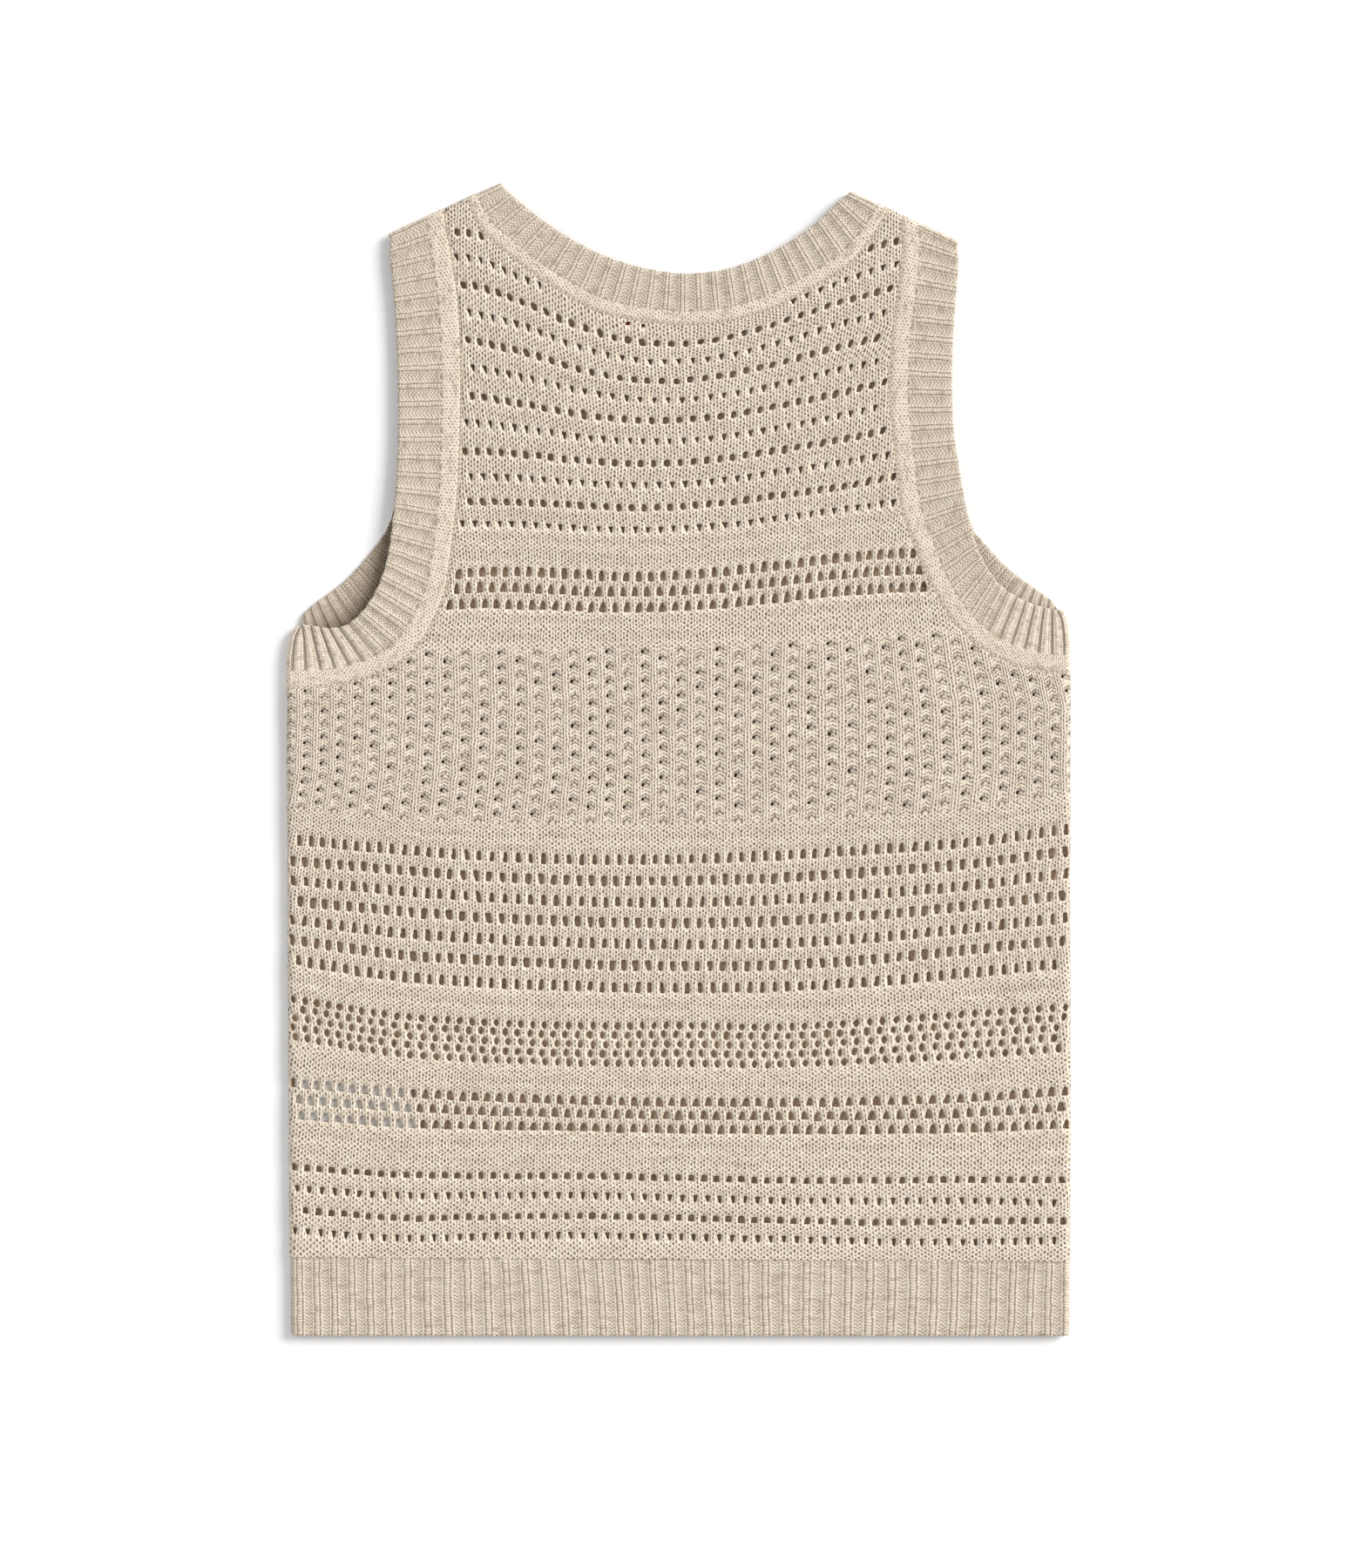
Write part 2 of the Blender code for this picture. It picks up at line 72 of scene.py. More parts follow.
ARM_LEFT_TOP = np.array([
    (-166.7, 301.5, -135.7, 316.0, 0.0), (-165.7, 291.5, -132.7, 302.5, 0.0),
    (-164.4, 277.5, -129.7, 285.5, 0.0), (-162.9, 260.5, -126.7, 266.0, 0.0),
    (-161.7, 240.5, -125.2, 243.5, 0.2), (-160.9, 213.0, -124.7, 214.0, 0.5),
    (-160.9, 179.5, -125.4, 179.5, 1.0), (-161.7, 161.5, -126.2, 159.0, 1.5),
    (-163.4, 139.5, -128.7, 132.5, 2.2), (-165.7, 121.5, -131.7, 110.0, 2.6),
    (-167.7, 111.5, -134.2, 95.5, 3.0), (-171.7, 100.0, -139.7, 82.0, 3.0),
    (-177.2, 90.0, -146.7, 69.0, 2.6), (-183.7, 82.0, -157.2, 58.0, 2.0),
    (-191.7, 76.2, -171.2, 50.2, 1.4), (-200.2, 75.0, -183.7, 45.5, 0.8),
    (-208.7, 76.0, -199.7, 41.8, 0.4), (-215.2, 76.8, -210.7, 40.8, 0.0),
])
ARM_LEFT_UNDER = np.array([
    (-165.7, 300.0, -135.7, 315.5, 0.0), (-163.7, 277.5, -129.2, 285.0, 0.0),
    (-161.2, 259.5, -126.2, 265.5, 0.0), (-159.9, 213.0, -124.2, 214.0, 0.0),
    (-159.9, 179.5, -124.7, 178.5, 0.0), (-162.2, 148.0, -127.7, 139.5, 0.0),
    (-167.7, 131.5, -135.7, 115.5, 0.0), (-176.2, 119.0, -148.2, 95.5, 0.0),
    (-183.7, 110.0, -158.2, 83.0, 0.0), (-191.7, 102.0, -168.7, 72.0, 0.0),
    (-200.7, 95.0, -181.2, 62.0, 0.0), (-210.2, 88.0, -196.7, 50.5, 0.0),
    (-215.7, 82.5, -208.2, 43.0, 0.0),
])
ARM_RIGHT_TOP = np.array([
    (161.3, 297.2, 130.3, 312.0, 0.0), (160.7, 285.5, 129.3, 295.0, 0.0),
    (159.8, 270.5, 127.8, 277.0, 0.0), (158.3, 252.5, 124.8, 256.5, 0.0),
    (157.3, 226.0, 121.8, 228.5, 0.0), (157.3, 204.5, 121.6, 204.5, 0.0),
    (158.3, 186.5, 123.8, 184.5, 0.2), (161.3, 166.5, 126.3, 161.0, 0.4),
    (164.1, 150.0, 129.3, 141.0, 0.6), (167.8, 134.5, 137.8, 118.0, 0.8),
    (173.3, 117.5, 147.8, 96.0, 0.8), (178.8, 107.5, 158.3, 79.0, 0.8),
    (186.3, 98.2, 170.3, 67.0, 0.6), (195.8, 92.0, 182.8, 58.5, 0.4),
    (204.8, 88.2, 196.8, 53.0, 0.2), (213.3, 85.9, 211.8, 50.0, 0.0),
])
ARM_RIGHT_UNDER = np.array([
    (160.3, 295.5, 130.3, 310.5, 0.0), (158.8, 270.5, 127.3, 275.5, 0.0),
    (157.1, 252.5, 124.3, 255.5, 0.0), (156.1, 226.0, 121.3, 227.5, 0.0),
    (156.1, 204.5, 120.8, 203.5, 0.0), (157.3, 186.5, 122.3, 182.5, 0.0),
    (160.8, 163.0, 126.3, 155.5, 0.0), (165.3, 143.0, 132.3, 130.5, 0.0),
    (170.3, 130.5, 139.8, 113.5, 0.0), (176.3, 123.5, 149.8, 101.5, 0.0),
    (184.3, 114.5, 160.8, 89.0, 0.0), (191.8, 107.5, 171.8, 79.5, 0.0),
    (199.8, 101.5, 183.3, 70.5, 0.0), (208.3, 95.5, 198.8, 60.5, 0.0),
    (214.8, 90.5, 210.8, 52.5, 0.0),
])
ARM_LEFT_SIDE = (-219.7, 76.2, -225.3, 40.5, 0.0)
ARM_RIGHT_SIDE = (221.3, 85.2, 225.3, 49.5, 0.0)
TURN = {"left_top": 13, "left_under": 9, "right_top": 11, "right_under": 11}
ARMHOLE_STEPS, UNDERARM_STEPS = 16, 8
CORNER_ACROSS, CORNER_EDGE_IN = (0.0, 0.15, 0.45, 1.0), (1.0, 0.38, 0.05, 0.0)
SIDES = np.array([
    (-331.3, -222.5, 224.6), (-287.5, -222.8, 224.9), (-214.5, -223.7, 225.3),
    (-64.5, -224.5, 225.3), (60.0, -225.3, 225.3),
])
HEM_TOP_LEFT, HEM_TOP_RIGHT, HEM_BOTTOM = -286.0, -288.5, -331.3

# -------------------------------------------------------------- rows of lace
# Stations across the body, in points, and the height of each row there.
UPPER = (525, 540, 600, 660, 720, 780, 840, 900, 960, 1020, 1040)
LOWER = (340, 450, 560, 670, 780, 890, 1000, 1110, 1218)
Row = namedtuple("Row", "name course kind phase cells x y")
Hole = namedtuple("Hole", "width height cells courses ends shape")


def row(name, course, kind, phase, cells, x, y):
    """cells is the number of mesh rows between this row and the one above."""
    keep = [k for k, value in enumerate(y) if value is not None]
    return Row(name, course, kind, phase, cells,
               np.array([x[k] for k in keep], float), np.array([y[k] for k in keep], float))


N = None
ROWS = [
    row("top", 0, None, 0.05, 0, UPPER, (218, 220, 242, 267, 288, 300, 294, 275, 250, 231, 227)),
    row("a1", 9, "A", 0.05, 8, UPPER, (266, 268, 290, 315, 336, 348, 342, 323, 300, 279, 275)),
    row("b2", 14, "B", 0.00, 4, UPPER, (295, 296, 320, 342, 362, 373, 367, 350, 326, 305, 300)),
    row("a3", 19, "A", -0.46, 4, UPPER, (327, 328, 347, 374, 391, 395, 386, 368, 348, 332, N)),
    row("b4", 24, "B", 0.02, 4, UPPER, (N, 359, 374, 397, 412, 415, 407, 392, 373, 358, N)),
    row("a5", 29, "A", -0.11, 4, UPPER, (N, 391, 404, 423, 435, 437, 429, 415, 399, 384, N)),
    row("b6", 34, "B", 0.28, 4, UPPER, (N, 421, 433, 447, 457, 459, 452, 440, 425, 413, N)),
    row("a7", 39, "A", 0.07, 4, UPPER, (455, 455, 464, 475, 482, 482, 476, 465, 452, 437, N)),
    row("b8", 44, "B", 0.42, 4, UPPER, (484, 485, 492, 501, 506, 506, 500, 490, 478, 465, N)),
    row("a9", 49, "A", 0.18, 4, UPPER, (520, 519, 522, 528, 532, 531, 525, 516, 506, 493, N)),
    row("b10", 54, "B", 0.56, 4, UPPER, (N, 547, 549, 554, 557, 556, 550, 541, 532, 522, N)),
    row("a11", 59, "A", 0.34, 4, UPPER, (N, 576, 577, 580, 583, 582, 576, 568, 560, 548, N)),
    row("b12", 64, "B", 0.69, 4, UPPER, (N, 601, 602, 606, 608, 607, 602, 594, 586, 578, N)),
    row("p1", 75, "P", -0.17, 10, UPPER, (660, 658, 656, 659, 662, 660, 655, 648, 641, 636, 635)),
    row("p2", 78.5, "Q", -0.50, 2, UPPER, (675, 674, 675, 678, 679, 678, 674, 667, 660, 655, 655)),
    row("p3", 82, "Q", -0.20, 2, UPPER, (694, 693, 694, 696, 698, 696, 692, 685, 679, 675, 674)),
    row("lace_top", 91, None, 0.30, 9, LOWER, (752, 747, 745, 743, 741, 737, 730, 722, 714)),
    row("lace_low", 133, None, 0.30, 72, LOWER, (928.5, 939.5, 945, 946, 946, 943, 938, 931, 912)),
    row("d1", 141, "D", 0.17, 8, LOWER, (964, 974, 983, 987, 986, 982, 975, 967, 953)),
    row("d2", 146, "C", -0.13, 3, LOWER, (989, 998, 1006, 1011, 1011, 1008, 1001, 992, 978)),
    row("d3", 151, "D", 0.06, 3, LOWER, (1011, 1022, 1030, 1035, 1036, 1033, 1026, 1017, 1003)),
    row("d4", 156, "C", -0.23, 3, LOWER, (1035, 1045, 1053, 1058, 1060, 1057, 1050, 1040, 1028)),
    row("d5", 161, "D", -0.04, 3, LOWER, (1056, 1070, 1078, 1082, 1084, 1083, 1077, 1066, 1054)),
    row("d6", 166, "C", -0.40, 3, LOWER, (1080, 1095, 1102, 1107, 1109, 1108, 1101, 1090, 1080)),
    row("d7", 171, "D", -0.20, 3, LOWER, (1102, 1120, 1128, 1132, 1134, 1133, 1127, 1117, 1106)),
    row("e1", 180, "E", 0.11, 8, LOWER, (1147.5, 1165.5, 1173.5, 1178, 1177.3, 1179.2, 1173, 1164, 1157)),
    row("e2", 182, "E", -0.17, 1, LOWER, (1157.5, 1176, 1183.5, 1188, 1187.5, 1189.5, 1183.5, 1176, 1168)),
    row("e3", 184, "E", 0.13, 1, LOWER, (1168.5, 1186.5, 1194, 1198.5, 1198.3, 1200, 1194.3, 1188, 1179)),
    row("e4", 186, "E", -0.15, 1, LOWER, (1179.3, 1197.3, 1205.7, 1209.3, 1209.2, 1210.6, 1206, 1199, 1190)),
    row("e5", 188, "E", 0.15, 1, LOWER, (1190, 1208.5, 1216, 1220, 1220.6, 1221.9, 1217.3, 1212, 1204)),
    row("f1", 197, "F", 0.29, 8, LOWER, (1243, 1253, 1259, 1263, 1265, 1265, 1264, 1260, 1252)),
    row("f2", 200, "F", -0.09, 2, LOWER, (1262, 1270, 1275, 1278, 1280, 1281, 1280, 1277, 1270)),
    row("f3", 203, "F", 0.26, 2, LOWER, (1280, 1289, 1292, 1294, 1296, 1297, 1297, 1295, 1291)),
    row("g1", 214, "G", -0.02, 11, LOWER, (1340, 1348, 1350, 1350, 1352, 1355, 1355, 1354, 1354)),
    row("g2", 218.5, "H", 0.29, 4, LOWER, (1364, 1372, 1372, 1372, 1375, 1378, 1379, 1378, 1382)),
    row("g3", 223, "G", -0.01, 4, LOWER, (1388, 1398, 1397, 1396, 1398, 1401, 1403, 1402, 1401)),
    row("g4", 227.5, "H", 0.21, 4, LOWER, (1412, 1421, 1419, 1418, 1420, 1422, 1425, 1426, 1424)),
    row("hem", 232, None, 0.21, 5, (329, 1229), (1442.65, 1447.65)),
]
# width, height in points, mesh rows, courses, height of the middle of the top and
# the bottom as shares of the half height, and for each mesh line from the top down
# the outline's half width and height as shares of the halves
HOLES = {
    "A": Hole(6.8, 8.5, 3, 1.68, (-0.96, 1.0), ((0.72, -0.86), (1.0, -0.30), (1.0, 0.36), (0.70, 0.90))),
    "B": Hole(5.8, 9.2, 3, 1.68, (-0.70, 1.0), ((0.92, -0.90), (0.86, -0.25), (0.50, 0.36), (0.34, 0.92))),
    "P": Hole(7.2, 11.8, 3, 2.3, (-1.0, 0.98), ((0.60, -0.84), (0.94, -0.26), (1.0, 0.40), (0.86, 0.94))),
    "Q": Hole(7.7, 12.2, 3, 2.3, (-1.0, 0.92), ((0.48, -0.80), (0.80, -0.25), (1.0, 0.40), (1.0, 0.93))),
    "D": Hole(6.4, 12.4, 3, 2.5, (-0.96, 0.96), ((0.66, -0.90), (0.80, -0.28), (0.96, 0.40), (0.84, 0.92))),
    "C": Hole(7.0, 12.2, 3, 2.5, (-0.92, 1.0), ((0.82, -0.90), (1.0, -0.30), (0.96, 0.34), (0.66, 0.92))),
    "E": Hole(7.3, 9.7, 2, 1.43, (-1.0, 1.0), ((0.60, -0.72), (1.0, 0.0), (0.60, 0.72))),
    "F": Hole(8.4, 10.8, 3, 1.97, (-1.0, 0.94), ((0.46, -0.80), (0.80, -0.18), (1.0, 0.50), (0.98, 0.95))),
    "G": Hole(7.3, 8.2, 2, 1.45, (-0.95, 0.92), ((0.70, -0.84), (1.0, 0.05), (0.92, 0.92))),
    "H": Hole(5.7, 8.9, 2, 1.45, (-0.9, 1.0), ((0.95, -0.84), (0.80, 0.0), (0.50, 0.88))),
}
# x of every fifth repeat of the lace at several heights, in points
COLUMNS = [
    (370, range(-15, 16, 5), (551, 619, 696, 778, 862, 942, 1014)),
    (415, range(-15, 16, 5), (552, 620, 698, 778, 858, 934, 1005)),
    (468, range(-15, 16, 5), (555, 624, 700, 778, 856, 930, 1000)),
    (525, range(-15, 16, 5), (560, 630, 703, 778, 853, 927, 997)),
    (600, range(-15, 16, 5), (564, 634, 706, 778, 851, 922, 989)),
    (660, range(-15, 21, 5), (569, 637, 707, 778, 851, 921, 988, 1049)),
    (810, range(-30, 31, 5), (369, 433, 503, 573, 642, 710, 777, 850, 919, 996, 1065, 1142, 1207)),
    (885, range(-30, 31, 5), (367, 431, 500, 571, 642, 710, 778, 850, 920, 996, 1068, 1142, 1206)),
    (975, range(-30, 31, 5), (354, 421, 491, 562, 634, 707, 778, 850, 920, 990, 1061, 1133, 1207)),
    (1048, range(-30, 31, 5), (349, 420, 492, 564, 636, 707, 778, 850, 921, 992, 1063, 1135, 1207)),
    (1122, range(-30, 31, 5), (362, 428, 496, 565, 636, 707, 778, 850, 922, 994, 1067, 1139, 1213)),
    (1190, range(-30, 31, 5), (363, 430, 498, 566, 636, 707, 778, 851, 924, 998, 1072, 1148, 1224)),
    (1275, range(-30, 26, 5), (357, 427, 498, 570, 639, 708, 778, 851, 926, 1003, 1080, 1157)),
    (1385, range(-30, 26, 5), (352, 426, 497, 566, 636, 706, 778, 852, 928, 1005, 1082, 1158)),
]
# how far the columns stray from that at 12 places across, in points
DRIFT_X = tuple(range(367, 1193, 75))
DRIFT = [
    (370, (0.3, 0.3, 0.3, 0.9, -1.2, -0.7, 1.6, 0.1, -0.4, -0.4, -0.4, -0.4)),
    (415, (0.6, 0.6, 0.6, 0.5, -1.2, -0.4, 1.4, -0.0, -3.7, -4.8, -4.8, -4.8)),
    (452, (0.2, 0.2, 0.2, 0.2, -1.2, -0.5, 1.2, -0.4, -1.9, -1.9, -1.9, -1.9)),
    (485, (1.5, 1.5, 1.5, 0.1, -0.6, -0.3, 0.8, -0.5, -1.2, -2.7, -2.7, -2.7)),
    (525, (-0.2, -0.2, -0.2, -0.2, -0.3, -0.2, 0.7, -0.6, -1.1, -1.1, -1.1, -1.1)),
    (556, (-0.4, -0.4, -0.4, -0.4, -0.6, -0.6, 0.9, -1.3, -2.6, -2.6, -2.6, -2.6)),
    (582, (0.2, 0.2, 0.2, 0.2, -0.0, -0.3, 0.7, -1.2, -2.4, -2.4, -2.4, -2.4)),
    (605, (-0.2, -0.2, -0.2, -0.2, -0.2, -0.8, 0.4, -0.7, -1.5, -3.7, -3.7, -3.7)),
    (659, (1.1, 1.1, 1.1, -0.1, -0.1, -0.1, 0.3, -0.2, -0.0, -1.5, -1.5, -1.5)),
    (677, (2.6, 2.6, 2.6, 1.3, 0.8, 0.1, -0.2, -0.7, -0.1, -0.5, -0.5, -0.5)),
    (696, (5.0, 5.0, 5.0, 3.0, 1.9, 0.2, -0.4, -1.1, -0.7, -0.7, -0.7, -0.7)),
    (742, (0.0, 0.0, 0.0, 0.0, 0.0, 0.0, 0.0, 0.0, 0.0, 0.0, 0.0, 0.0)),
    (946, (0.0, 0.0, 0.0, 0.0, 0.0, 0.0, 0.0, 0.0, 0.0, 0.0, 0.0, 0.0)),
    (985, (-1.3, -1.9, -1.3, 1.3, 2.7, -0.0, -1.1, -1.9, -0.7, 0.3, 2.9, 2.6)),
    (1009, (-1.6, -2.1, -1.6, 1.9, 2.8, 0.3, -1.5, -2.3, -0.5, 0.7, 2.4, 0.9)),
    (1033, (-2.0, -2.5, -2.5, 1.0, 2.5, -0.2, -1.4, -2.2, -0.6, 1.0, 1.3, 0.7)),
    (1057, (-0.2, -1.5, -1.6, 1.9, 2.4, -0.1, -1.6, -2.4, -0.3, 1.2, 1.4, 0.7)),
    (1081, (-0.1, -1.9, -1.3, 1.4, 2.2, -0.7, -1.5, -2.4, -0.6, 1.1, 0.2, -0.0)),
    (1106, (-0.2, -1.2, 0.1, 3.1, 2.7, -0.2, -0.4, -1.4, 0.1, 1.7, 1.6, 1.4)),
    (1131, (-2.2, -2.3, 0.3, 2.6, 1.7, -1.0, -0.5, -1.5, -1.2, 1.0, 2.2, 0.8)),
    (1176, (2.4, -3.6, 1.8, 2.6, 0.4, 0.1, -0.2, -1.6, -2.2, 1.1, 3.0, 3.1)),
    (1186, (1.5, -4.0, 1.9, 2.0, 0.4, 0.2, -0.2, -1.5, -2.5, 1.6, 3.2, 2.6)),
    (1197, (1.4, -3.7, 2.7, 1.8, 0.6, 0.8, -0.3, -2.2, -2.6, 1.3, 2.7, 2.1)),
    (1208, (0.4, -4.2, 2.6, 1.0, 0.3, 0.8, -0.6, -2.5, -2.4, 1.1, 2.4, 1.7)),
    (1219, (0.7, -3.4, 2.5, 0.8, 0.3, 0.9, 0.1, -2.5, -2.9, 0.6, 2.2, 0.4)),
    (1263, (-0.2, -0.2, -0.2, -1.3, 0.1, 1.7, 1.8, -1.3, -2.4, 0.7, 3.9, 1.6)),
    (1279, (-0.7, -0.7, -0.7, -2.4, -0.2, 2.0, 2.6, -0.6, -2.5, 0.9, 3.2, 1.5)),
    (1295, (-1.3, -1.3, -1.3, -2.2, 0.2, 2.1, 2.1, -1.1, -2.5, 1.7, 3.2, 1.8)),
    (1352, (-1.5, -3.8, -0.6, -0.5, 0.4, 1.6, 0.2, -1.9, -1.9, 0.5, 2.7, -0.8)),
    (1375, (-2.1, -3.3, -0.4, -0.1, 0.8, 1.7, 0.2, -1.9, -1.4, 0.4, 2.4, 1.4)),
    (1399, (-0.2, -3.4, -0.8, 0.4, 1.7, 2.2, -0.2, -2.3, -1.6, 1.0, 2.9, 1.4)),
    (1421, (-2.3, -2.3, -0.7, 1.8, 2.2, 2.8, 0.1, -1.1, -0.3, 2.7, 4.4, 3.0)),
]
# purl rows between the lace, as heights on the middle line, in points
PURL = (
    (225, 232), (246, 252), (612, 617), (628, 635), (648, 655), (702, 706), (717, 723),
    (736, 745), (946, 954), (965, 972), (1144, 1150), (1160, 1168), (1229, 1239),
    (1251, 1256), (1304, 1311), (1320, 1330), (1339, 1344), (1361, 1366), (1384, 1390),
    (1407, 1412), (1429, 1433), (1438, 1445),
)
# crests of the hem rib, x in points at half its height, and how far their lower
# ends lie to the right of their upper ones
HEM_CRESTS = (
    304, 325, 344, 364, 384, 404, 425, 446, 468, 490, 514, 537, 560, 582, 604, 626, 647,
    669, 690, 710, 731, 750, 770, 791, 812.5, 834, 856, 878, 901, 925, 949, 972, 997,
    1022, 1047, 1071, 1094, 1117, 1139, 1161, 1182, 1202, 1223, 1245,
)
HEM_LEAN = ((330, 480, 580, 650, 700, 750, 800, 850, 950, 1050, 1180, 1229),
            (0, 1, 5, 6, 5, 4, 3, 2, 0, -2, -4, -1))

random = np.random.default_rng(782)


# ---------------------------------------------------------------- small tools
def curve(xs, ys, x):
    """A smooth curve through the points, straight on beyond its ends."""
    xs, ys, x = np.asarray(xs, float), np.asarray(ys, float), np.asarray(x, float)
    slope = np.gradient(ys, xs)
    k = np.clip(np.searchsorted(xs, x, side="right") - 1, 0, len(xs) - 2)
    h = xs[k + 1] - xs[k]
    t = np.clip((x - xs[k]) / h, 0, 1)
    y = ((2 * t**3 - 3 * t**2 + 1) * ys[k] + (t**3 - 2 * t**2 + t) * h * slope[k]
         + (3 * t**2 - 2 * t**3) * ys[k + 1] + (t**3 - t**2) * h * slope[k + 1])
    return y + np.minimum(x - xs[0], 0) * slope[0] + np.maximum(x - xs[-1], 0) * slope[-1]


def ease(low, high, x):
    t = np.clip((np.asarray(x, float) - low) / (high - low), 0, 1)
    return t * t * (3 - 2 * t)


def to_mm(x, y):
    return (x - PLAN_X) * POINT, (PLAN_Y - y) * POINT


def along_of(rows):
    step = np.linalg.norm(np.diff(rows[:, :4], axis=0), axis=1)
    along = np.concatenate([[0.0], np.cumsum(step)])
    return along / along[-1]


def smooth(rows, at):
    """The same curve through a table's rows as the part's."""
    along = along_of(rows)
    slope = np.gradient(rows, along, axis=0)
    k = np.clip(np.searchsorted(along, at, side="right") - 1, 0, len(rows) - 2)
    h = (along[k + 1] - along[k])[:, None]
    t = (at - along[k])[:, None] / h
    return ((2 * t**3 - 3 * t**2 + 1) * rows[k] + (t**3 - 2 * t**2 + t) * h * slope[k]
            + (3 * t**2 - 2 * t**3) * rows[k + 1] + (t**3 - t**2) * h * slope[k + 1])


def side_x(y, which):
    return np.interp(y, SIDES[:, 0], SIDES[:, which])


def shoulder_line(sign):
    arm = ARM_LEFT_TOP[0] if sign < 0 else ARM_RIGHT_TOP[0]
    neck = NECK_TOP[0] if sign < 0 else NECK_TOP[-1]
    d = neck[:2] - arm[:2]
    d /= np.linalg.norm(d)
    n = np.array([-d[1], d[0]])
    return arm[:2].copy(), n if n[1] > 0 else -n


def to_base(section, sign):
    a, n = shoulder_line(sign)
    r = np.array(section, float)
    for i in (0, 2):
        r[i:i + 2] -= n * (np.dot(r[i:i + 2] - a, n) + MID)
    return r


def hem_line(x):
    left, right = SIDES[1, 1], SIDES[1, 2]
    return HEM_TOP_LEFT + (HEM_TOP_RIGHT - HEM_TOP_LEFT) * (x - left) / (right - left)


def neck_rows(drop):
    rows = NECK_TOP.copy()
    rows[1:-1, 1] -= drop
    rows[1:-1, 3] -= drop
    rows[0], rows[-1] = to_base(NECK_TOP[0], -1), to_base(NECK_TOP[-1], 1)
    return rows


def arm_rows(sign, under):
    top = ARM_LEFT_TOP if sign < 0 else ARM_RIGHT_TOP
    table = (ARM_LEFT_UNDER if sign < 0 else ARM_RIGHT_UNDER) if under else top
    side = np.array(ARM_LEFT_SIDE if sign < 0 else ARM_RIGHT_SIDE)
    side[[0, 2]] -= sign * MID
    return np.vstack([to_base(top[0], sign), table[1:], side])


def mesh_piece(name, points, quads, uv, fields, sharp=None, smooth_shade=True):
    """A mesh object in metres from points in plan millimetres."""
    me = bpy.data.meshes.new(name)
    points = np.asarray(points, float).copy()
    points[:, 1] += SHIFT_Y
    quads = np.asarray(quads, np.int32)
    me.vertices.add(len(points))
    me.vertices.foreach_set("co", (points * MM).astype(np.float32).ravel())
    me.loops.add(quads.size)
    me.loops.foreach_set("vertex_index", quads.ravel())
    me.polygons.add(len(quads))
    me.polygons.foreach_set("loop_start", np.arange(0, quads.size, 4, dtype=np.int32))
    me.update(calc_edges=True)
    layer = me.uv_layers.new(name="OFBake")
    layer.uv.foreach_set("vector", np.asarray(uv, np.float32).ravel())
    for key, values in fields.items():
        a = me.attributes.new(key, "FLOAT_VECTOR", "POINT")
        a.data.foreach_set("vector", np.asarray(values, np.float32).ravel())
    me.shade_smooth()
    if sharp is not None:
        ends = np.empty(len(me.edges) * 2, np.int32)
        me.edges.foreach_get("vertices", ends)
        ends = ends.reshape(-1, 2)
        a = me.attributes.new("sharp_edge", "BOOLEAN", "EDGE")
        a.data.foreach_set("value", sharp[ends].all(1))
    me.update()
    piece = bpy.data.objects.new(name, me)
    bpy.context.scene.collection.objects.link(piece)
    return piece


# ------------------------------------------------------------------ materials
class Value:
    """A socket that takes part in sums."""

    def __init__(self, graph, socket):
        self.graph, self.socket = graph, socket

    def _two(self, name, other, swap=False):
        pair = (other, self) if swap else (self, other)
        return self.graph.math(name, *pair)

    def __add__(self, o): return self._two("ADD", o)
    def __radd__(self, o): return self._two("ADD", o)
    def __sub__(self, o): return self._two("SUBTRACT", o)
    def __rsub__(self, o): return self._two("SUBTRACT", o, True)
    def __mul__(self, o): return self._two("MULTIPLY", o)
    def __rmul__(self, o): return self._two("MULTIPLY", o)
    def __truediv__(self, o): return self._two("DIVIDE", o)
    def __pow__(self, o): return self._two("POWER", o)
    def __neg__(self): return self * -1.0


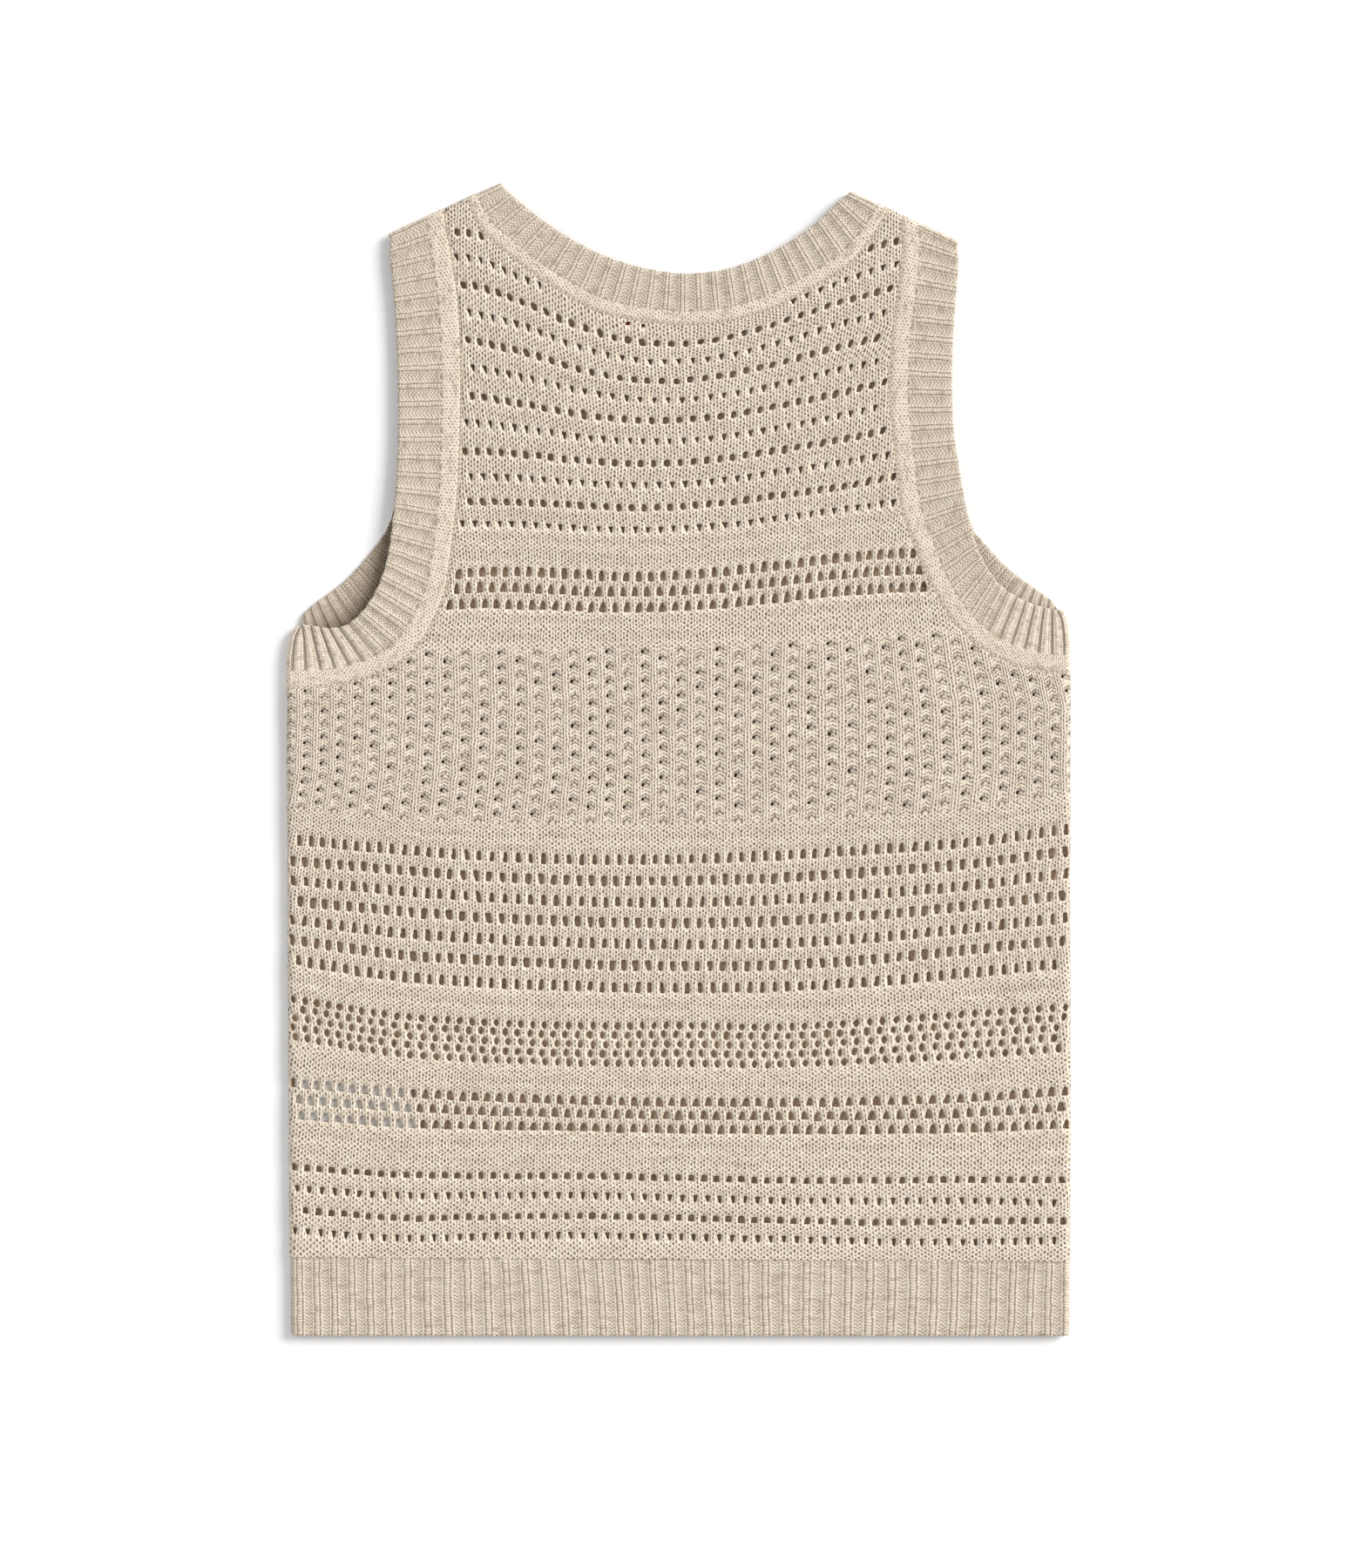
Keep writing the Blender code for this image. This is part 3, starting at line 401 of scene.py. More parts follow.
class Graph:
    def __init__(self, name):
        self.material = bpy.data.materials.new(name)
        self.material.use_nodes = True
        self.tree = self.material.node_tree
        self.shader = self.tree.nodes["Principled BSDF"]

    def node(self, kind, **settings):
        n = self.tree.nodes.new(kind)
        for key, value in settings.items():
            setattr(n, key, value)
        return n

    def feed(self, socket, value):
        if isinstance(value, Value):
            self.tree.links.new(value.socket, socket)
        else:
            socket.default_value = value

    def math(self, name, *values, clamp=False):
        n = self.node("ShaderNodeMath", operation=name, use_clamp=clamp)
        for socket, value in zip(n.inputs, values):
            self.feed(socket, value)
        return Value(self, n.outputs[0])

    def cos(self, x): return self.math("COSINE", x * (2 * math.pi))
    def frac(self, x): return self.math("FRACT", x)
    def floor(self, x): return self.math("FLOOR", x)
    def abs(self, x): return self.math("ABSOLUTE", x)
    def high(self, a, b): return self.math("MAXIMUM", a, b)
    def low(self, a, b): return self.math("MINIMUM", a, b)
    def above(self, a, b): return self.math("GREATER_THAN", a, b)

    def wave(self, x):
        """1 at whole numbers, 0 halfway."""
        return self.cos(x) * 0.5 + 0.5

    def near(self, x, size):
        """1 at 0, falling off over the size."""
        scaled = x * (1.0 / size)
        return self.math("EXPONENT", -(scaled * scaled))

    def ease(self, x, low, high):
        n = self.node("ShaderNodeMapRange", interpolation_type="SMOOTHSTEP")
        self.feed(n.inputs[0], x)
        n.inputs[1].default_value, n.inputs[2].default_value = low, high
        n.inputs[3].default_value, n.inputs[4].default_value = 0.0, 1.0
        return Value(self, n.outputs[0])

    def blend(self, t, a, b):
        return a + (b - a) * t if not isinstance(a, float) or isinstance(b, Value) else t * (b - a) + a

    def colour(self, t, a, b):
        """Mixes two colours; each is a triple or a socket value."""
        n = self.node("ShaderNodeMix", data_type="RGBA")
        self.feed(n.inputs[0], t)
        for socket, value in ((n.inputs[6], a), (n.inputs[7], b)):
            self.feed(socket, value if isinstance(value, Value) else (*value, 1.0))
        return Value(self, n.outputs[2])

    def field(self, name):
        n = self.node("ShaderNodeAttribute", attribute_name=name)
        s = self.node("ShaderNodeSeparateXYZ")
        self.tree.links.new(n.outputs["Vector"], s.inputs[0])
        return [Value(self, o) for o in s.outputs]

    def vector(self, x, y, z=0.0):
        n = self.node("ShaderNodeCombineXYZ")
        for socket, value in zip(n.inputs, (x, y, z)):
            self.feed(socket, value)
        return Value(self, n.outputs[0])

    def noise(self, where, scale, detail=2.0, rough=0.5):
        n = self.node("ShaderNodeTexNoise")
        self.feed(n.inputs["Vector"], where)
        n.inputs["Scale"].default_value = scale
        n.inputs["Detail"].default_value = detail
        n.inputs["Roughness"].default_value = rough
        return Value(self, n.outputs["Fac"])

    def place(self):
        n = self.node("ShaderNodeTexCoord")
        return Value(self, n.outputs["Object"])

    def finish(self, colour, height, distance, rough, sheen):
        self.feed(self.shader.inputs["Base Color"], colour)
        bump = self.node("ShaderNodeBump")
        bump.inputs["Strength"].default_value = 1.0
        bump.inputs["Distance"].default_value = distance
        self.feed(bump.inputs["Height"], height)
        self.tree.links.new(bump.outputs["Normal"], self.shader.inputs["Normal"])
        self.feed(self.shader.inputs["Roughness"], rough)
        self.shader.inputs["Specular IOR Level"].default_value = 0.25
        self.shader.inputs["Sheen Weight"].default_value = sheen
        self.shader.inputs["Sheen Roughness"].default_value = 0.5
        self.shader.inputs["Sheen Tint"].default_value = (1.0, 0.94, 0.86, 1.0)
        return self.material


YARN = (0.745, 0.642, 0.518)
YARN_TAN = (0.520, 0.410, 0.300)
YARN_BROWN = (0.250, 0.180, 0.125)
YARN_PALE = (0.885, 0.798, 0.695)
# painted shade in the gaps between stitches
PAINTED_GAP_SHADE = (0.115, 0.078, 0.048)
SHADE = (1.0, 0.90, 0.80)           # painted shade on the inner faces, seen through the holes
SHADE_RIB = (0.34, 0.29, 0.24)      # painted shade, deep between the layers of the bands


def yarn_colour_and_shade(g, wale, course, gap, inside, shade_to=SHADE):
    """The marl: each course runs through paler and browner lengths of yarn; painted shade darkens the gaps between
    stitches, and the inner faces are multiplied by a painted shade colour.
    """
    where = g.place()
    cloud = g.noise(where, 30.0, 3.0, 0.6)
    strand = g.noise(g.vector(wale * 0.42, g.floor(course) * 7.31), 1.0, 2.0, 0.6)
    streak = g.noise(g.vector(wale * 0.30 + 40.0, course * 0.55), 1.0, 3.0, 0.65)
    fleck = g.noise(g.vector(wale * 2.2, course * 2.6), 1.0, 2.0, 0.6)
    patch = g.noise(g.vector(wale * 0.16 + 9.0, course * 0.30), 1.0, 2.0, 0.6)
    tan = g.ease(strand * 0.42 + streak * 0.40 + patch * 0.42 + cloud * 0.12 + fleck * 0.20, 0.72, 0.98)
    pale = g.ease(fleck * 0.7 + strand * 0.5, 0.52, 0.74)
    dusk = g.noise(g.vector(wale * 0.45 + 3.0, course * 1.15 + 7.0), 1.0, 2.0, 0.65)
    base = g.colour(tan * 0.9, YARN, YARN_TAN)
    base = g.colour(g.ease(dusk, 0.60, 0.74) * 0.42, base, YARN_BROWN)
    base = g.colour(pale * 0.8, base, YARN_PALE)
    # painted shade: the gaps between stitches darkened
    base = g.colour(gap, base, PAINTED_GAP_SHADE)
    # painted shade on the inner faces, as far as inside says
    shade = g.node("ShaderNodeMix", data_type="RGBA", blend_type="MULTIPLY")
    g.feed(shade.inputs[0], inside)
    g.feed(shade.inputs[6], base)
    shade.inputs[7].default_value = (*shade_to, 1.0)
    return Value(g, shade.outputs[2])


def knit_material(name):
    """Openwork of the body: fields knit (wale, course, purl) and place (lace, inside, rim)."""
    g = Graph(name)
    wale, course, purl = g.field("knit")
    lace, inside, rim = g.field("place")
    across = g.field("ladder")[0]                 # half wales from a ladder's middle
    in_lace = g.above(lace, 0.5)
    wobble = g.noise(g.vector(wale * 0.7, course * 0.5), 1.0, 1.0)
    wobble2 = g.noise(g.vector(course * 0.6 + 17.0, wale * 0.8), 1.0, 1.0)
    u = wale + (wobble - 0.5) * 0.42
    v = course + (wobble2 - 0.5) * 0.75
    cu, cv = g.wave(u), g.wave(v)
    su, sv = 1.0 - cu, 1.0 - cv
    eu, ev = 4.7 - purl * 2.5 + in_lace * 2.0, 0.78 + purl * 1.12 - in_lace * 0.22
    dots = (cu ** eu) * (cv ** ev) + (su ** eu) * (sv ** ev)
    each = g.noise(g.vector(g.floor(u * 2.0 + 0.5), g.floor(v * 2.0 + 0.5)), 0.73, 0.0)
    depth = g.ease(each, 0.28, 0.70) * 0.70 + 0.66
    dots = dots * depth * (1.0 - rim * 0.75)
    # the ladders of the lace panel: wavy strands, an opening at the left, a slit at the right
    column = g.floor(across * (1 / 6) + 0.5)
    x = across - column * 6.0 + (wobble - 0.5) * 0.5
    side = g.abs(x)
    beat = g.frac((course - 92.1667) * (1 / 3.5) - g.frac(column * 0.5) + (wobble2 - 0.5) * 0.06)
    ladder = g.ease(side, 1.75, 1.40) * in_lace
    lines = (g.wave(beat * 4.0 + (1.0 - side) * 0.50) ** 1.9) * (g.wave(x) * 0.25 + 0.75)
    lines = lines * (g.ease(g.noise(g.vector(across * 0.5, course * 0.9), 1.0, 1.0), 0.32, 0.60) * 0.8 + 0.35)
    turn = g.frac(beat + 0.5) - 0.5
    marks = g.near(x, 0.40) * g.near(turn + 0.20, 0.10) * 0.95
    marks = marks + g.near(x - 1.02, 0.36) * g.near(turn, 0.13) * 1.0
    marks = marks + g.near(x + 0.98, 0.52) * g.near(turn, 0.14) * 1.25
    fancy = g.low(lines + marks * (g.ease(each, 0.3, 0.6) * 0.6 + 0.75), 1.1)
    gap = g.blend(ladder, dots, fancy)
    gap = g.low(gap * (1.0 - in_lace * (0.27 - ladder * 0.17)), 1.0) * (1.0 - inside * 0.45)
    # the legs of the stitches stand out between the gaps, each leaning a little
    leg = g.wave(u * 2.0 + 0.5)
    lean = g.wave(v + g.abs(g.frac(u + 0.5) - 0.5))
    height = leg * 0.30 + lean * 0.08 - gap * 0.85 + 0.5
    height = height + g.noise(g.vector(u * 9.0, v * 7.0), 1.0, 2.0, 0.7) * 0.22
    # painted shade: the gaps between stitches and the hollows between legs darkened, more in the lace, less at hole
    # rims and on inner faces
    dark = g.low(gap * 0.86 + (1.0 - leg) * (1.0 - purl * 0.7) * (1.0 - ladder) * (1.0 - rim * 0.6) * (in_lace * 0.09 + 0.15), 1.0)
    colour = yarn_colour_and_shade(g, wale, v, dark, inside)
    return g.finish(colour, height, 0.00050, 0.88, 0.14)


def rib_material(name):
    """Rib of the bands and hem: fields rib (phase, from the edge, trough's half width)
    and place (past the trough's end, inside)."""
    g = Graph(name)
    phase, edge, half = g.field("rib")
    end, inside, linked = g.field("place")
    wobble = g.noise(g.vector(phase * 1.6, edge * 0.16), 1.0, 1.0)
    fine = g.noise(g.vector(phase * 7.0, edge * 0.9), 1.0, 1.0)
    p = phase + (wobble - 0.5) * 0.13 + (fine - 0.5) * 0.06
    off = g.abs(g.frac(p + 0.5) - 0.5)            # 0 in the trough, .5 on the rib
    t = off / g.high(half, 0.02)
    plain = g.ease(end, -0.6, 1.0)
    trough = g.ease(t, 1.12, 0.88) * (1.0 - plain)
    v = edge * (1 / 1.36) + (g.noise(g.vector(phase * 2.0, edge * 0.3), 1.0, 1.0) - 0.5) * 0.8
    # purl: small slanting dots
    a, b = g.wave(p * 4.0), g.wave(v * 0.66 + off * 1.6)
    weave = (a * b + (1.0 - a) * (1.0 - b)) ** 1.6
    # knit: a chain between two bright cords, a dark line at each side
    rib = (off - half) / (0.5 - half)             # 0 at the trough's edge, 1 on the crest
    line = g.near(rib - 0.43, 0.18) * (g.wave(v * 0.8 + 0.2) * 0.35 + 0.75)
    chain = (g.wave(v * 0.8 + rib * 0.6) ** 1.6) * g.ease(rib, 0.5, 0.70) * 0.50
    crest = g.near(rib - 1.0, 0.14) * 0.16
    ticks = (g.wave(v * 0.8 + 0.25) ** 1.5) * g.near(rib - 0.10, 0.16) * 0.35
    broken = g.ease(g.noise(g.vector(phase * 3.0, v * 0.7), 1.0, 2.0), 0.3, 0.6) * 0.5 + 0.5
    knit = line * broken * 1.25 + chain + crest + ticks
    # plain strip: stitches in line with the ribs
    q, w = p * 3.0, edge * (1 / 2.1) + (wobble - 0.5) * 0.9
    cu, cv = g.wave(q), g.wave(w)
    each = g.noise(g.vector(g.floor(q * 2.0 + 0.5), g.floor(w * 2.0 + 0.5)), 0.73, 0.0)
    dash = ((cu ** 4.5) * (cv ** 0.9) + ((1.0 - cu) ** 4.5) * ((1.0 - cv) ** 0.9)) * (g.ease(each, 0.28, 0.70) * 0.7 + 0.45)
    squeeze = g.ease(half, 0.21, 0.13)            # ribs pressed together at the underarms
    knit = knit * (1.0 - squeeze * 0.55)
    dots = g.blend(trough, knit, weave * (0.90 - squeeze * 0.5) + 0.10 + squeeze * 0.62)
    dots = g.blend(plain, dots, dash * 0.95)
    curl = g.near(off - 0.02, 0.13) * g.near(end + 0.3, 0.75) * (g.ease(each, 0.3, 0.6) * 0.5 + 0.5)
    gap = g.low(dots + curl * 0.85, 1.0)
    # the chain of the seam: slanting dark notches on both sides, in browner yarn
    chain_on = g.above(linked, 0.5)
    notch = (g.wave(phase + g.abs(edge) * 0.42 + (wobble - 0.5) * 0.8) ** 1.8) * 0.85
    middle = g.near(edge, 0.16) * 0.30
    gap = g.blend(chain_on, gap, g.low(notch + middle, 1.0))
    height = 0.9 - gap + g.noise(g.vector(p * 26.0, edge * 4.0), 1.0, 2.0, 0.7) * 0.22
    # painted shade: the gaps between stitches darkened, and the inner faces multiplied by the bands' painted shade
    # colour
    colour = yarn_colour_and_shade(g, phase * 4.0, edge * (1 / 1.36), g.low(gap * 0.69, 1.0), inside, SHADE_RIB)
    streak = g.noise(g.vector(phase * 1.7 + 3.0, g.floor(v) * 2.9), 1.0, 2.0, 0.62)
    clump = g.noise(g.vector(phase * 0.9, edge * 0.22 + 11.0), 1.0, 2.0, 0.6)
    colour = g.colour(g.ease(streak * 0.62 + clump * 0.38, 0.53, 0.61) * 0.52, colour, (0.36, 0.275, 0.195))
    colour = g.colour(chain_on * 0.20, colour, (0.52, 0.36, 0.22))
    return g.finish(colour, height, 0.00042, 0.90, 0.14)


def label_material(name, colour, deep, rough):
    g = Graph(name)
    where = g.place()
    n = g.node("ShaderNodeSeparateXYZ")
    g.tree.links.new(where.socket, n.inputs[0])
    x, y = Value(g, n.outputs[0]), Value(g, n.outputs[1])
    a, b = g.wave(x * 2600.0), g.wave(y * 2100.0)
    weave = a * (1.0 - b) + b * (1.0 - a)
    tone = g.noise(where, 140.0, 3.0)
    mixed = g.colour(weave * 0.45 + tone * 0.45, colour, deep)
    return g.finish(mixed, weave + tone * 0.3, 0.00004, rough, 0.05)


def floor_material():
    g = Graph("floor_paper")
    tone = g.noise(g.place(), 3.0, 2.0)
    colour = g.colour(tone, (0.93, 0.93, 0.935), (0.95, 0.95, 0.955))
    g.feed(g.shader.inputs["Base Color"], colour)
    g.shader.inputs["Roughness"].default_value = 0.9
    g.shader.inputs["Specular IOR Level"].default_value = 0.1
    return g.material


# ---------------------------------------------------------------- body panels
def phases():
    """Each row's phase as the mesh columns' shift and its hole's column, of four."""
    shift, column = [], []
    last = 0.0
    for r in ROWS:
        s = r.phase - 0.25 * round((r.phase - last) / 0.25)
        shift.append(s)
        column.append(round((r.phase - s) / 0.25))
        last = s
    return np.array(shift), column


def column_x(rep, y):
    stack = np.array([curve(list(i), x, rep) for _, i, x in COLUMNS])
    heights = np.array([c[0] for c in COLUMNS], float)
    k = np.clip(np.searchsorted(heights, y) - 1, 0, len(heights) - 2)
    t = np.clip((y - heights[k]) / (heights[k + 1] - heights[k]), 0, 1)
    n = np.arange(len(rep))
    x = stack[k, n] * (1 - t) + stack[k + 1, n] * t
    heights = np.array([d[0] for d in DRIFT], float)
    table = np.array([np.interp(x, DRIFT_X, d[1]) for d in DRIFT])
    k = np.clip(np.searchsorted(heights, y) - 1, 0, len(heights) - 2)
    t = np.clip((y - heights[k]) / (heights[k + 1] - heights[k]), 0, 1)
    return x + table[k, n] * (1 - t) + table[k + 1, n] * t


def row_y(k, x, drop):
    """Height of row k at x; the under layer's rows lie lower by drop."""
    r = ROWS[k]
    own = 0.0 if r.name in ("top", "hem") else drop
    return curve(r.x, r.y, x) + own


def outline_of(under):
    """The panel's outline in the plan, anticlockwise, and which of its stretches are seams."""
    over = 0.35
    points, seam = [], []

    def add(line, is_seam):
        for p in line:
            points.append(p)
            seam.append(is_seam)

    def seam_run(rows, first, last, n):
        s = smooth(rows, np.linspace(0, 1, n))
        edge, at = s[:, 0:2], s[:, 2:4]
        away = edge - at
        away /= np.linalg.norm(away, axis=1)[:, None]
        line = at + away * over
        return line if first < last else line[::-1]

    bottom = np.array([[x, hem_line(x) + 0.02] for x in np.linspace(SIDES[1, 1], SIDES[1, 2], 40)])
    right_y = np.linspace(bottom[-1, 1], ARM_RIGHT_SIDE[3], 40)
    left_y = np.linspace(ARM_LEFT_SIDE[3], bottom[0, 1], 40)
    add(bottom, False)
    add([(side_x(y, 2), y) for y in right_y[1:-1]], False)
    side = [(ARM_RIGHT_SIDE[2], ARM_RIGHT_SIDE[3] + over)]
    add(side, True)
    run = seam_run(arm_rows(1, under), 1, 0, 90)
    add(run, True)
    a, n = shoulder_line(1)
    ends = [run[-1]]
    neck = seam_run(neck_rows(NECK_UNDER_DROP if under else 0.0), 1, 0, 90)
    for p in (run[-1], neck[0]):
        q = p - n * np.dot(p - a, n)
        add([q], False)
    add(neck, True)
    a, n = shoulder_line(-1)
    run = seam_run(arm_rows(-1, under), 0, 1, 90)
    for p in (neck[-1], run[0]):
        q = p - n * np.dot(p - a, n)
        add([q], False)
    add(run, True)
    add([(ARM_LEFT_SIDE[2], ARM_LEFT_SIDE[3] + over)], True)
    add([(side_x(y, 1), y) for y in left_y[1:]][:-1], False)
    points = np.array(points)
    seam = np.array(seam)
    return points, seam & np.roll(seam, -1)


def signed_distance(p, outline, seam):
    """Distance inside the outline (+), the nearest point on it, and the distance to its seams."""
    a, b = outline, np.roll(outline, -1, axis=0)
    d = b - a
    length = np.maximum((d * d).sum(1), 1e-12)
    best = np.empty(len(p))
    spot = np.empty((len(p), 2))
    to_seam = np.empty(len(p))
    inside = np.empty(len(p), bool)
    for s in range(0, len(p), 4000):
        q = p[s:s + 4000]
        rel = q[:, None] - a
        t = np.clip((rel * d).sum(2) / length, 0, 1)
        near = a + t[..., None] * d
        dist = np.linalg.norm(q[:, None] - near, axis=2)
        k = dist.argmin(1)
        rows = np.arange(len(q))
        best[s:s + 4000] = dist[rows, k]
        spot[s:s + 4000] = near[rows, k]
        to_seam[s:s + 4000] = np.where(seam, dist, 1e9).min(1)
        crosses = (a[:, 1] > q[:, None, 1]) != (b[:, 1] > q[:, None, 1])
        with np.errstate(divide="ignore", invalid="ignore"):
            at = a[:, 0] + (q[:, None, 1] - a[:, 1]) / d[:, 1] * d[:, 0]
        inside[s:s + 4000] = (crosses & (q[:, None, 0] < at)).sum(1) % 2 == 1
    return np.where(inside, best, -best), spot, to_seam


def wrap(x, y):
    """Base point, outward normal and angle of the turn over sides and shoulders."""
    base = np.stack([x, y], 1)
    normal = np.zeros_like(base)
    angle = np.zeros(len(x))
    radius = STACK - MID - HALF_GAP
    for which, sign in ((1, -1.0), (2, 1.0)):
        begin = side_x(y, which) - sign * radius
        over = (x - begin) * sign
        at = over > 0
        base[at, 0] = begin[at]
        normal[at] = (sign, 0.0)
        angle[at] = over[at] / radius * (math.pi / 2)
    for sign in (-1.0, 1.0):
        a, n = shoulder_line(sign)
        over = (np.stack([x, y], 1) - a) @ n + MID
        at = (over > 0) & (x * sign > 100) & (x * sign < 150) & (y > 290)
        base[at] -= n * over[at, None]
        normal[at] = n
        angle[at] = over[at] / MID * (math.pi / 2)
    return base, normal, np.clip(angle, 0, math.pi / 2)


def build_panel(name, under, cuts, splits):
    """One body panel as pieces between the cuts (courses), with its holes open."""
    shift, hole_column = phases()
    drop = 12.0 if under else 0.0
    rng = np.random.default_rng(31 if under else 7)

    # mesh lines down the body
    lines, holes = [ROWS[0].course], []
    for k, r in enumerate(ROWS[1:], 1):
        before = ROWS[k - 1]
        start = before.course + (HOLES[before.kind].courses / 2 if before.kind else 0)
        stop = r.course - (HOLES[r.kind].courses / 2 if r.kind else 0)
        lines += list(np.linspace(start, stop, r.cells + 1)[1:])
        if r.kind:
            h = HOLES[r.kind]
            holes.append((k, len(lines) - 1))
            lines += list(np.linspace(stop, r.course + h.courses / 2, h.cells + 1)[1:])
    lines = np.array(lines)
    courses = np.array([r.course for r in ROWS], float)
    columns = np.arange(-132, 133)
    J, K = len(lines), len(columns)
    slot = np.clip(np.searchsorted(courses, lines, side="right") - 1, 0, len(ROWS) - 2)
    share = (lines - courses[slot]) / (courses[slot + 1] - courses[slot])
    drift = shift[slot] * (1 - share) + shift[slot + 1] * share
    X, Y = np.empty((J, K)), np.empty((J, K))
    for j in range(J):
        rep = columns / 4 + drift[j]
        x = PLAN_X + rep * 14.3
        for _ in range(3):
            y = row_y(slot[j], x, drop) * (1 - share[j]) + row_y(slot[j] + 1, x, drop) * share[j]
            x = column_x(rep, y)
        X[j], Y[j] = x, y

    # the knitting's own unevenness
    wander = np.random.default_rng(5).normal(size=(J, K, 2))
    X += wander[..., 0] * 0.16
    Y += wander[..., 1] * 0.16

    X0, Y0 = X.copy(), Y.copy()
    outline, seam = outline_of(under)
    mx, my = to_mm(X, Y)
    dist, nearest, to_seam = signed_distance(np.stack([mx.ravel(), my.ravel()], 1), outline, seam)
    dist = dist.reshape(J, K)
    nearest = nearest.reshape(J, K, 2)
    to_seam = to_seam.reshape(J, K)

    cell = np.zeros((J - 1, K - 1), bool)
    live = dist > 0.35
    cell |= live[:-1, :-1] | live[1:, :-1] | live[:-1, 1:] | live[1:, 1:]
    rim = np.zeros((J, K))
    bar = np.zeros((J, K))
    centre = np.full((J, K, 2), np.nan)
    holed = np.zeros((J - 1, K - 1), bool)

    def open_hole(ja, k0, h, scale_w, scale_h, skew, push, lean):
        """Removes two columns of cells and draws their border to the hole's outline."""
        n = h.cells
        ring = [(ja, k0), (ja + n, k0)] + [(ja + i, k0 + s) for i in range(n + 1) for s in (-1, 1)]
        if min(dist[p] for p in ring) < 0.25:
            return
        cx = (X[ja, k0] + X[ja + n, k0]) / 2 + push[0]
        cy = (Y[ja, k0] + Y[ja + n, k0]) / 2 + push[1]
        slope = (Y[ja, k0 + 1] + Y[ja + n, k0 + 1] - Y[ja, k0 - 1] - Y[ja + n, k0 - 1]) / (
            X[ja, k0 + 1] + X[ja + n, k0 + 1] - X[ja, k0 - 1] - X[ja + n, k0 - 1])
        w, t = h.width / 2 * scale_w, h.height / 2 * scale_h
        down_x = lean + skew

        def put(p, a, b):
            X[p] = cx + a * w + b * t * down_x
            Y[p] = cy + a * w * slope + b * t
            rim[p] = 1.0
            centre[p] = to_mm(cx, cy)

        put((ja, k0), 0.0, h.ends[0])
        put((ja + n, k0), 0.0, h.ends[1])
        for i, (a, b) in enumerate(h.shape):
            put((ja + i, k0 - 1), -a * rng.normal(1, 0.09), b + rng.normal(0, 0.05))
            put((ja + i, k0 + 1), a * rng.normal(1, 0.09), b + rng.normal(0, 0.05))
        for i in range(n + 1):
            for s in (-2, 2):
                bar[ja + i, k0 + s] = 1.0
        holed[ja:ja + n, k0 - 1:k0 + 1] = True

    for k, ja in holes:
        r = ROWS[k]
        h = HOLES[r.kind]
        first = hole_column[k] % 4
        if under:
            # the under layer's solid parts lie behind the upper one's holes
            mine = float(row_y(k, 780.0, drop))
            gaps = [abs(float(row_y(i, 780.0, 0.0)) - mine) for i, _ in holes]
            other = holes[int(np.argmin(gaps))][0]
            first = (round((ROWS[other].phase + 0.5 - shift[k]) / 0.25)) % 4
        spacing = abs(Y[ja + h.cells, :] - Y[ja, :]) / h.height
        for k0 in range(2, K - 2):
            if (columns[k0] - first) % 4:
                continue
            sw, sh = rng.normal(1.0, 0.075), rng.normal(1.0, 0.06)
            if r.kind in "AB":
                tight = float(np.clip(spacing[k0], 0.72, 1.12))
                sh *= tight
                sw *= 1.0 + (1.0 - tight) * 0.55
            lean = 0.0
            if r.kind in "AB":
                lean = -0.22 * float(np.clip((X[ja, k0] - 780) / 240, -1, 1)) * (1 if ja < 80 else 0.4)
            open_hole(ja, k0, h, sw, sh, rng.normal(0, 0.07), rng.normal(0, 0.28, 2), lean)

    # openings up the left side of the ladders of the lace panel
    names = {r.name: i for i, r in enumerate(ROWS)}
    lace_a, lace_b = courses[names["lace_top"]], courses[names["lace_low"]]
    lace_rows = np.nonzero((lines >= lace_a - 1e-6) & (lines <= lace_b + 1e-6))[0]
    ladder = round((0.30 - shift[names["lace_top"]]) / 0.25)
    first_line = lace_rows[0]
    for n in range(-30, 31):
        k0 = ladder + 6 * n + 132
        if not 3 <= k0 < K - 3:
            continue
        for beat in range(12):
            ja = first_line + 6 * beat + (1 if n % 2 == 0 else 4)
            jb = ja + 2
            if jb >= lace_rows[-1]:
                continue
            ring = [(j, k) for j in range(ja, jb + 1) for k in (k0 - 1, k0)]
            if min(dist[p] for p in ring) < 0.5 or rng.random() < 0.50:
                continue
            cx = (X[ja + 1, k0 - 1] + X[ja + 1, k0]) / 2 - 1.35 + rng.normal(0, 0.25)
            cy = Y[ja + 1, k0] + rng.normal(0, 0.3)
            w, t = 1.5 * rng.normal(1, 0.16), 1.8 * rng.normal(1, 0.16)
            for i, (a, b) in enumerate(((0.62, -1.0), (1.0, 0.0), (0.62, 1.0))):
                for s, k in ((-1, k0 - 1), (1, k0)):
                    X[ja + i, k], Y[ja + i, k] = cx + s * a * w, cy + b * t
                    rim[ja + i, k] = 0.8
                    centre[ja + i, k] = to_mm(cx, cy)
            holed[ja:jb, k0 - 1] = True

    # small openings over the neck label
    if not under:
        for x, y, w, t in ((720.5, 371.5, 3.0, 2.3), (738, 374, 2.3, 2.4), (838.5, 387, 1.8, 1.3)):
            j, k = np.unravel_index(np.argmin((X[:-1, :-1] - x) ** 2 + (Y[:-1, :-1] - y) ** 2 + 1e9 * holed), (J - 1, K - 1))
            ring = [(j + b, k + a) for a in (0, 1) for b in (0, 1)]
            if min(dist[p] for p in ring) < 0.5 or max(rim[p] for p in ring) > 0:
                continue
            for a, b in ((0, 0), (1, 0), (0, 1), (1, 1)):
                p = (j + b, k + a)
                X[p], Y[p] = x + (2 * a - 1) * w * rng.normal(0.9, 0.1), y + (2 * b - 1) * t * rng.normal(0.9, 0.1)
                rim[p] = 1.0
                centre[p] = to_mm(x, y)
            holed[j, k] = True

    cell &= ~holed
    mx, my = to_mm(X, Y)
    # the border: points outside, or nearly on it, go to the outline
    snap = (dist < 0.35) & np.isnan(centre[..., 0])
    used = np.zeros((J, K), bool)
    for a in (0, 1):
        for b in (0, 1):
            used[a:J - 1 + a, b:K - 1 + b] |= cell
    snap &= used
    mx[snap], my[snap] = nearest[snap, 0], nearest[snap, 1]
    to_seam = np.where(snap & (to_seam < 4), np.abs(to_seam) * 0, to_seam)

